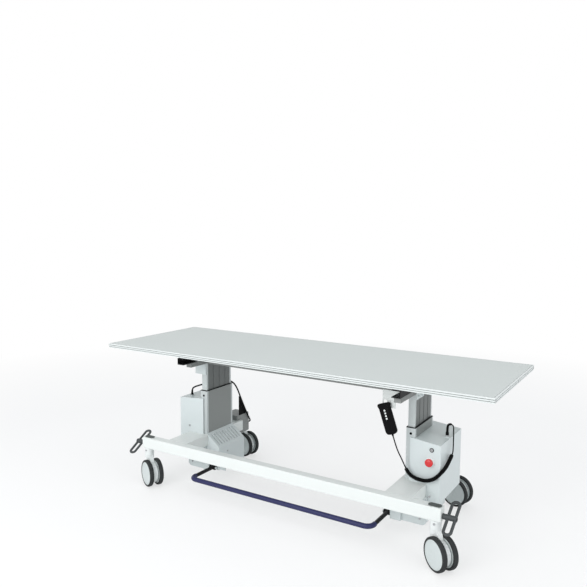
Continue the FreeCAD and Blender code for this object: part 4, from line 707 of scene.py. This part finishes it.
# Helix: the turn goes on evenly along the route, and the coil radius grows from nothing over the taper
# at both ends.
def curlyLine(route):
    gone, line = walkRoute(route)
    turns = round(gone[-1] / curl["pitch"])
    along = np.linspace(0, gone[-1], turns * curl["perTurn"] + 1)
    angle = 2 * math.pi * turns * along / gone[-1]
    fade = np.clip(np.minimum(along, gone[-1] - along) / curl["taper"], 0, 1)
    radius = (curl["outer"] - curl["wire"]) / 2 * fade * fade * (3 - 2 * fade)
    return roundLine(placesAt(along, gone, line), radius, angle[:, None], curl["helper"])[:, 0]


lead = plainCord("lead_from_handset", handsetRoute, leadDiameter, "handset_lead")
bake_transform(lead)
coil = curlyLine(curlRoute)
curly = paint(tubeAlong("curly_stretch", coil, curl["wire"] / 2, curl["wireSides"]), "cord_rubber")
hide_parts("curly_cord")
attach(curly, "base")
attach(plainCord("lead_to_gland", glandRoute, leadDiameter, "gland_lead"), "base")
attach(plainCord("link_to_rear", linkRoute, linkDiameter, "link_cable"), "base")
strainRelief("relief_right", glandRoute[::-1], 0.045, 7)
strainRelief("relief_left", linkRoute, 0.016, 3)
print("cords made: curly stretch %.2f m of wire" % lengthOf(coil))


# Stage: a pale floor that fades to the backdrop, soft lights and the camera.
floorLook = {"size": 14.0, "color": (0.93, 0.935, 0.93), "second": 0.985, "cloud": 0.8, "rough": 0.7,
             "fadeStart": 2.4, "fadeEnd": 5.0, "glow": 0.6}
sky = {"ambient": (0.93, 0.96, 1.0), "strength": 0.74, "backdrop": (1.0, 1.0, 1.0)}
lights = {
    "key": {"place": (-0.6, -4.4, 2.5), "aim": (0.1, 0, 0.5), "size": (3.4, 3.0), "power": 118},
    "top": {"place": (0.2, -0.6, 4.2), "aim": (0.0, 0, 0.8), "size": (4.6, 3.0), "power": 12},
    "side": {"place": (4.4, -0.6, 2.0), "aim": (0.4, 0, 0.5), "size": (2.6, 2.6), "power": 34},
}
camera = {"place": (1.7219, -2.9130, 1.4685), "yaw": 31.716, "pitch": 5.834, "roll": 0.361,
          "lens": 39.143, "sensor": 36}


# One for rays that come straight from the camera, or by way of metal or glass, and nothing for others.
def seenRay(tree):
    ray = tree.nodes.new("ShaderNodeLightPath")
    seen = ray.outputs["Is Camera Ray"]
    for name in ("Is Glossy Ray", "Is Transmission Ray"):
        either = tree.nodes.new("ShaderNodeMath")
        either.operation = "MAXIMUM"
        tree.links.new(seen, either.inputs[0])
        tree.links.new(ray.outputs[name], either.inputs[1])
        seen = either.outputs["Value"]
    return seen


# The floor keeps its shadow near the table, and further off it fades to the backdrop for seen rays.
def makeFloor():
    half = floorLook["size"] / 2
    floor = meshPiece("floor", [(-half, -half, 0), (half, -half, 0), (half, half, 0), (-half, half, 0)],
                      [(0, 1, 2, 3)])
    material = bpy.data.materials.new("floor")
    material.use_nodes = True
    tree = material.node_tree
    link = tree.links.new
    shader = tree.nodes["Principled BSDF"]
    shader.inputs["Roughness"].default_value = floorLook["rough"]
    place = tree.nodes.new("ShaderNodeTexCoord")
    cloud = node(tree, "TexNoise", Scale=floorLook["cloud"], Detail=2)
    link(place.outputs["Object"], cloud.inputs["Vector"])
    second = tuple(floorLook["second"] * value for value in floorLook["color"])
    tone = blendColors(tree, cloud.outputs["Fac"], floorLook["color"], second)
    link(tone, shader.inputs["Base Color"])
    away = tree.nodes.new("ShaderNodeVectorMath")
    away.operation = "LENGTH"
    link(place.outputs["Object"], away.inputs[0])
    fade = node(tree, "MapRange", **{"From Min": floorLook["fadeStart"], "From Max": floorLook["fadeEnd"],
                                     "To Min": floorLook["glow"]})
    link(away.outputs["Value"], fade.inputs["Value"])
    shown = tree.nodes.new("ShaderNodeMath")
    shown.operation = "MULTIPLY"
    link(fade.outputs["Result"], shown.inputs[0])
    link(seenRay(tree), shown.inputs[1])
    backdrop = node(tree, "Emission", Color=(*sky["backdrop"], 1), Strength=1)
    mix = tree.nodes.new("ShaderNodeMixShader")
    link(shown.outputs["Value"], mix.inputs["Fac"])
    link(shader.outputs["BSDF"], mix.inputs[1])
    link(backdrop.outputs["Emission"], mix.inputs[2])
    link(mix.outputs["Shader"], tree.nodes["Material Output"].inputs["Surface"])
    floor.data.materials.append(material)


# The backdrop is white to the camera and to mirror and clear rays, and soft grey as light.
def makeSky():
    world = bpy.data.worlds.new("studio")
    bpy.context.scene.world = world
    world.use_nodes = True
    tree = world.node_tree
    link = tree.links.new
    ambient = tree.nodes["Background"]
    ambient.inputs["Color"].default_value = (*sky["ambient"], 1)
    ambient.inputs["Strength"].default_value = sky["strength"]
    backdrop = node(tree, "Background", Color=(*sky["backdrop"], 1), Strength=1)
    mix = tree.nodes.new("ShaderNodeMixShader")
    link(seenRay(tree), mix.inputs["Fac"])
    link(ambient.outputs["Background"], mix.inputs[1])
    link(backdrop.outputs["Background"], mix.inputs[2])
    link(mix.outputs["Shader"], tree.nodes["World Output"].inputs["Surface"])


def makeLights():
    for name, light in lights.items():
        data = bpy.data.lights.new(name, "AREA")
        data.shape = "RECTANGLE"
        data.size, data.size_y = light["size"]
        data.energy = light["power"]
        lamp = bpy.data.objects.new(name, data)
        lamp.location = light["place"]
        aim = Vector(light["aim"]) - Vector(light["place"])
        lamp.rotation_euler = aim.to_track_quat("-Z", "Y").to_euler()
        bpy.context.scene.collection.objects.link(lamp)


# Yaw turns the view from +Y towards -X, pitch lowers it and roll tips it about its own axis.
def makeCamera():
    yaw, pitch, roll = (math.radians(camera[key]) for key in ("yaw", "pitch", "roll"))
    ahead = Vector((-math.sin(yaw) * math.cos(pitch), math.cos(yaw) * math.cos(pitch), -math.sin(pitch)))
    level = Vector((math.cos(yaw), math.sin(yaw), 0))
    above = level.cross(ahead)
    right = level * math.cos(roll) + above * math.sin(roll)
    up = above * math.cos(roll) - level * math.sin(roll)
    data = bpy.data.cameras.new("camera")
    data.lens = camera["lens"]
    data.sensor_width = camera["sensor"]
    data.dof.use_dof = False
    eye = bpy.data.objects.new("camera", data)
    turn = Matrix((right, up, -ahead)).transposed().to_4x4()
    eye.matrix_world = Matrix.Translation(camera["place"]) @ turn
    bpy.context.scene.collection.objects.link(eye)
    bpy.context.scene.camera = eye


makeFloor()
makeSky()
makeLights()
makeCamera()
bpy.context.scene.view_settings.view_transform = "Standard"
print("stage set")
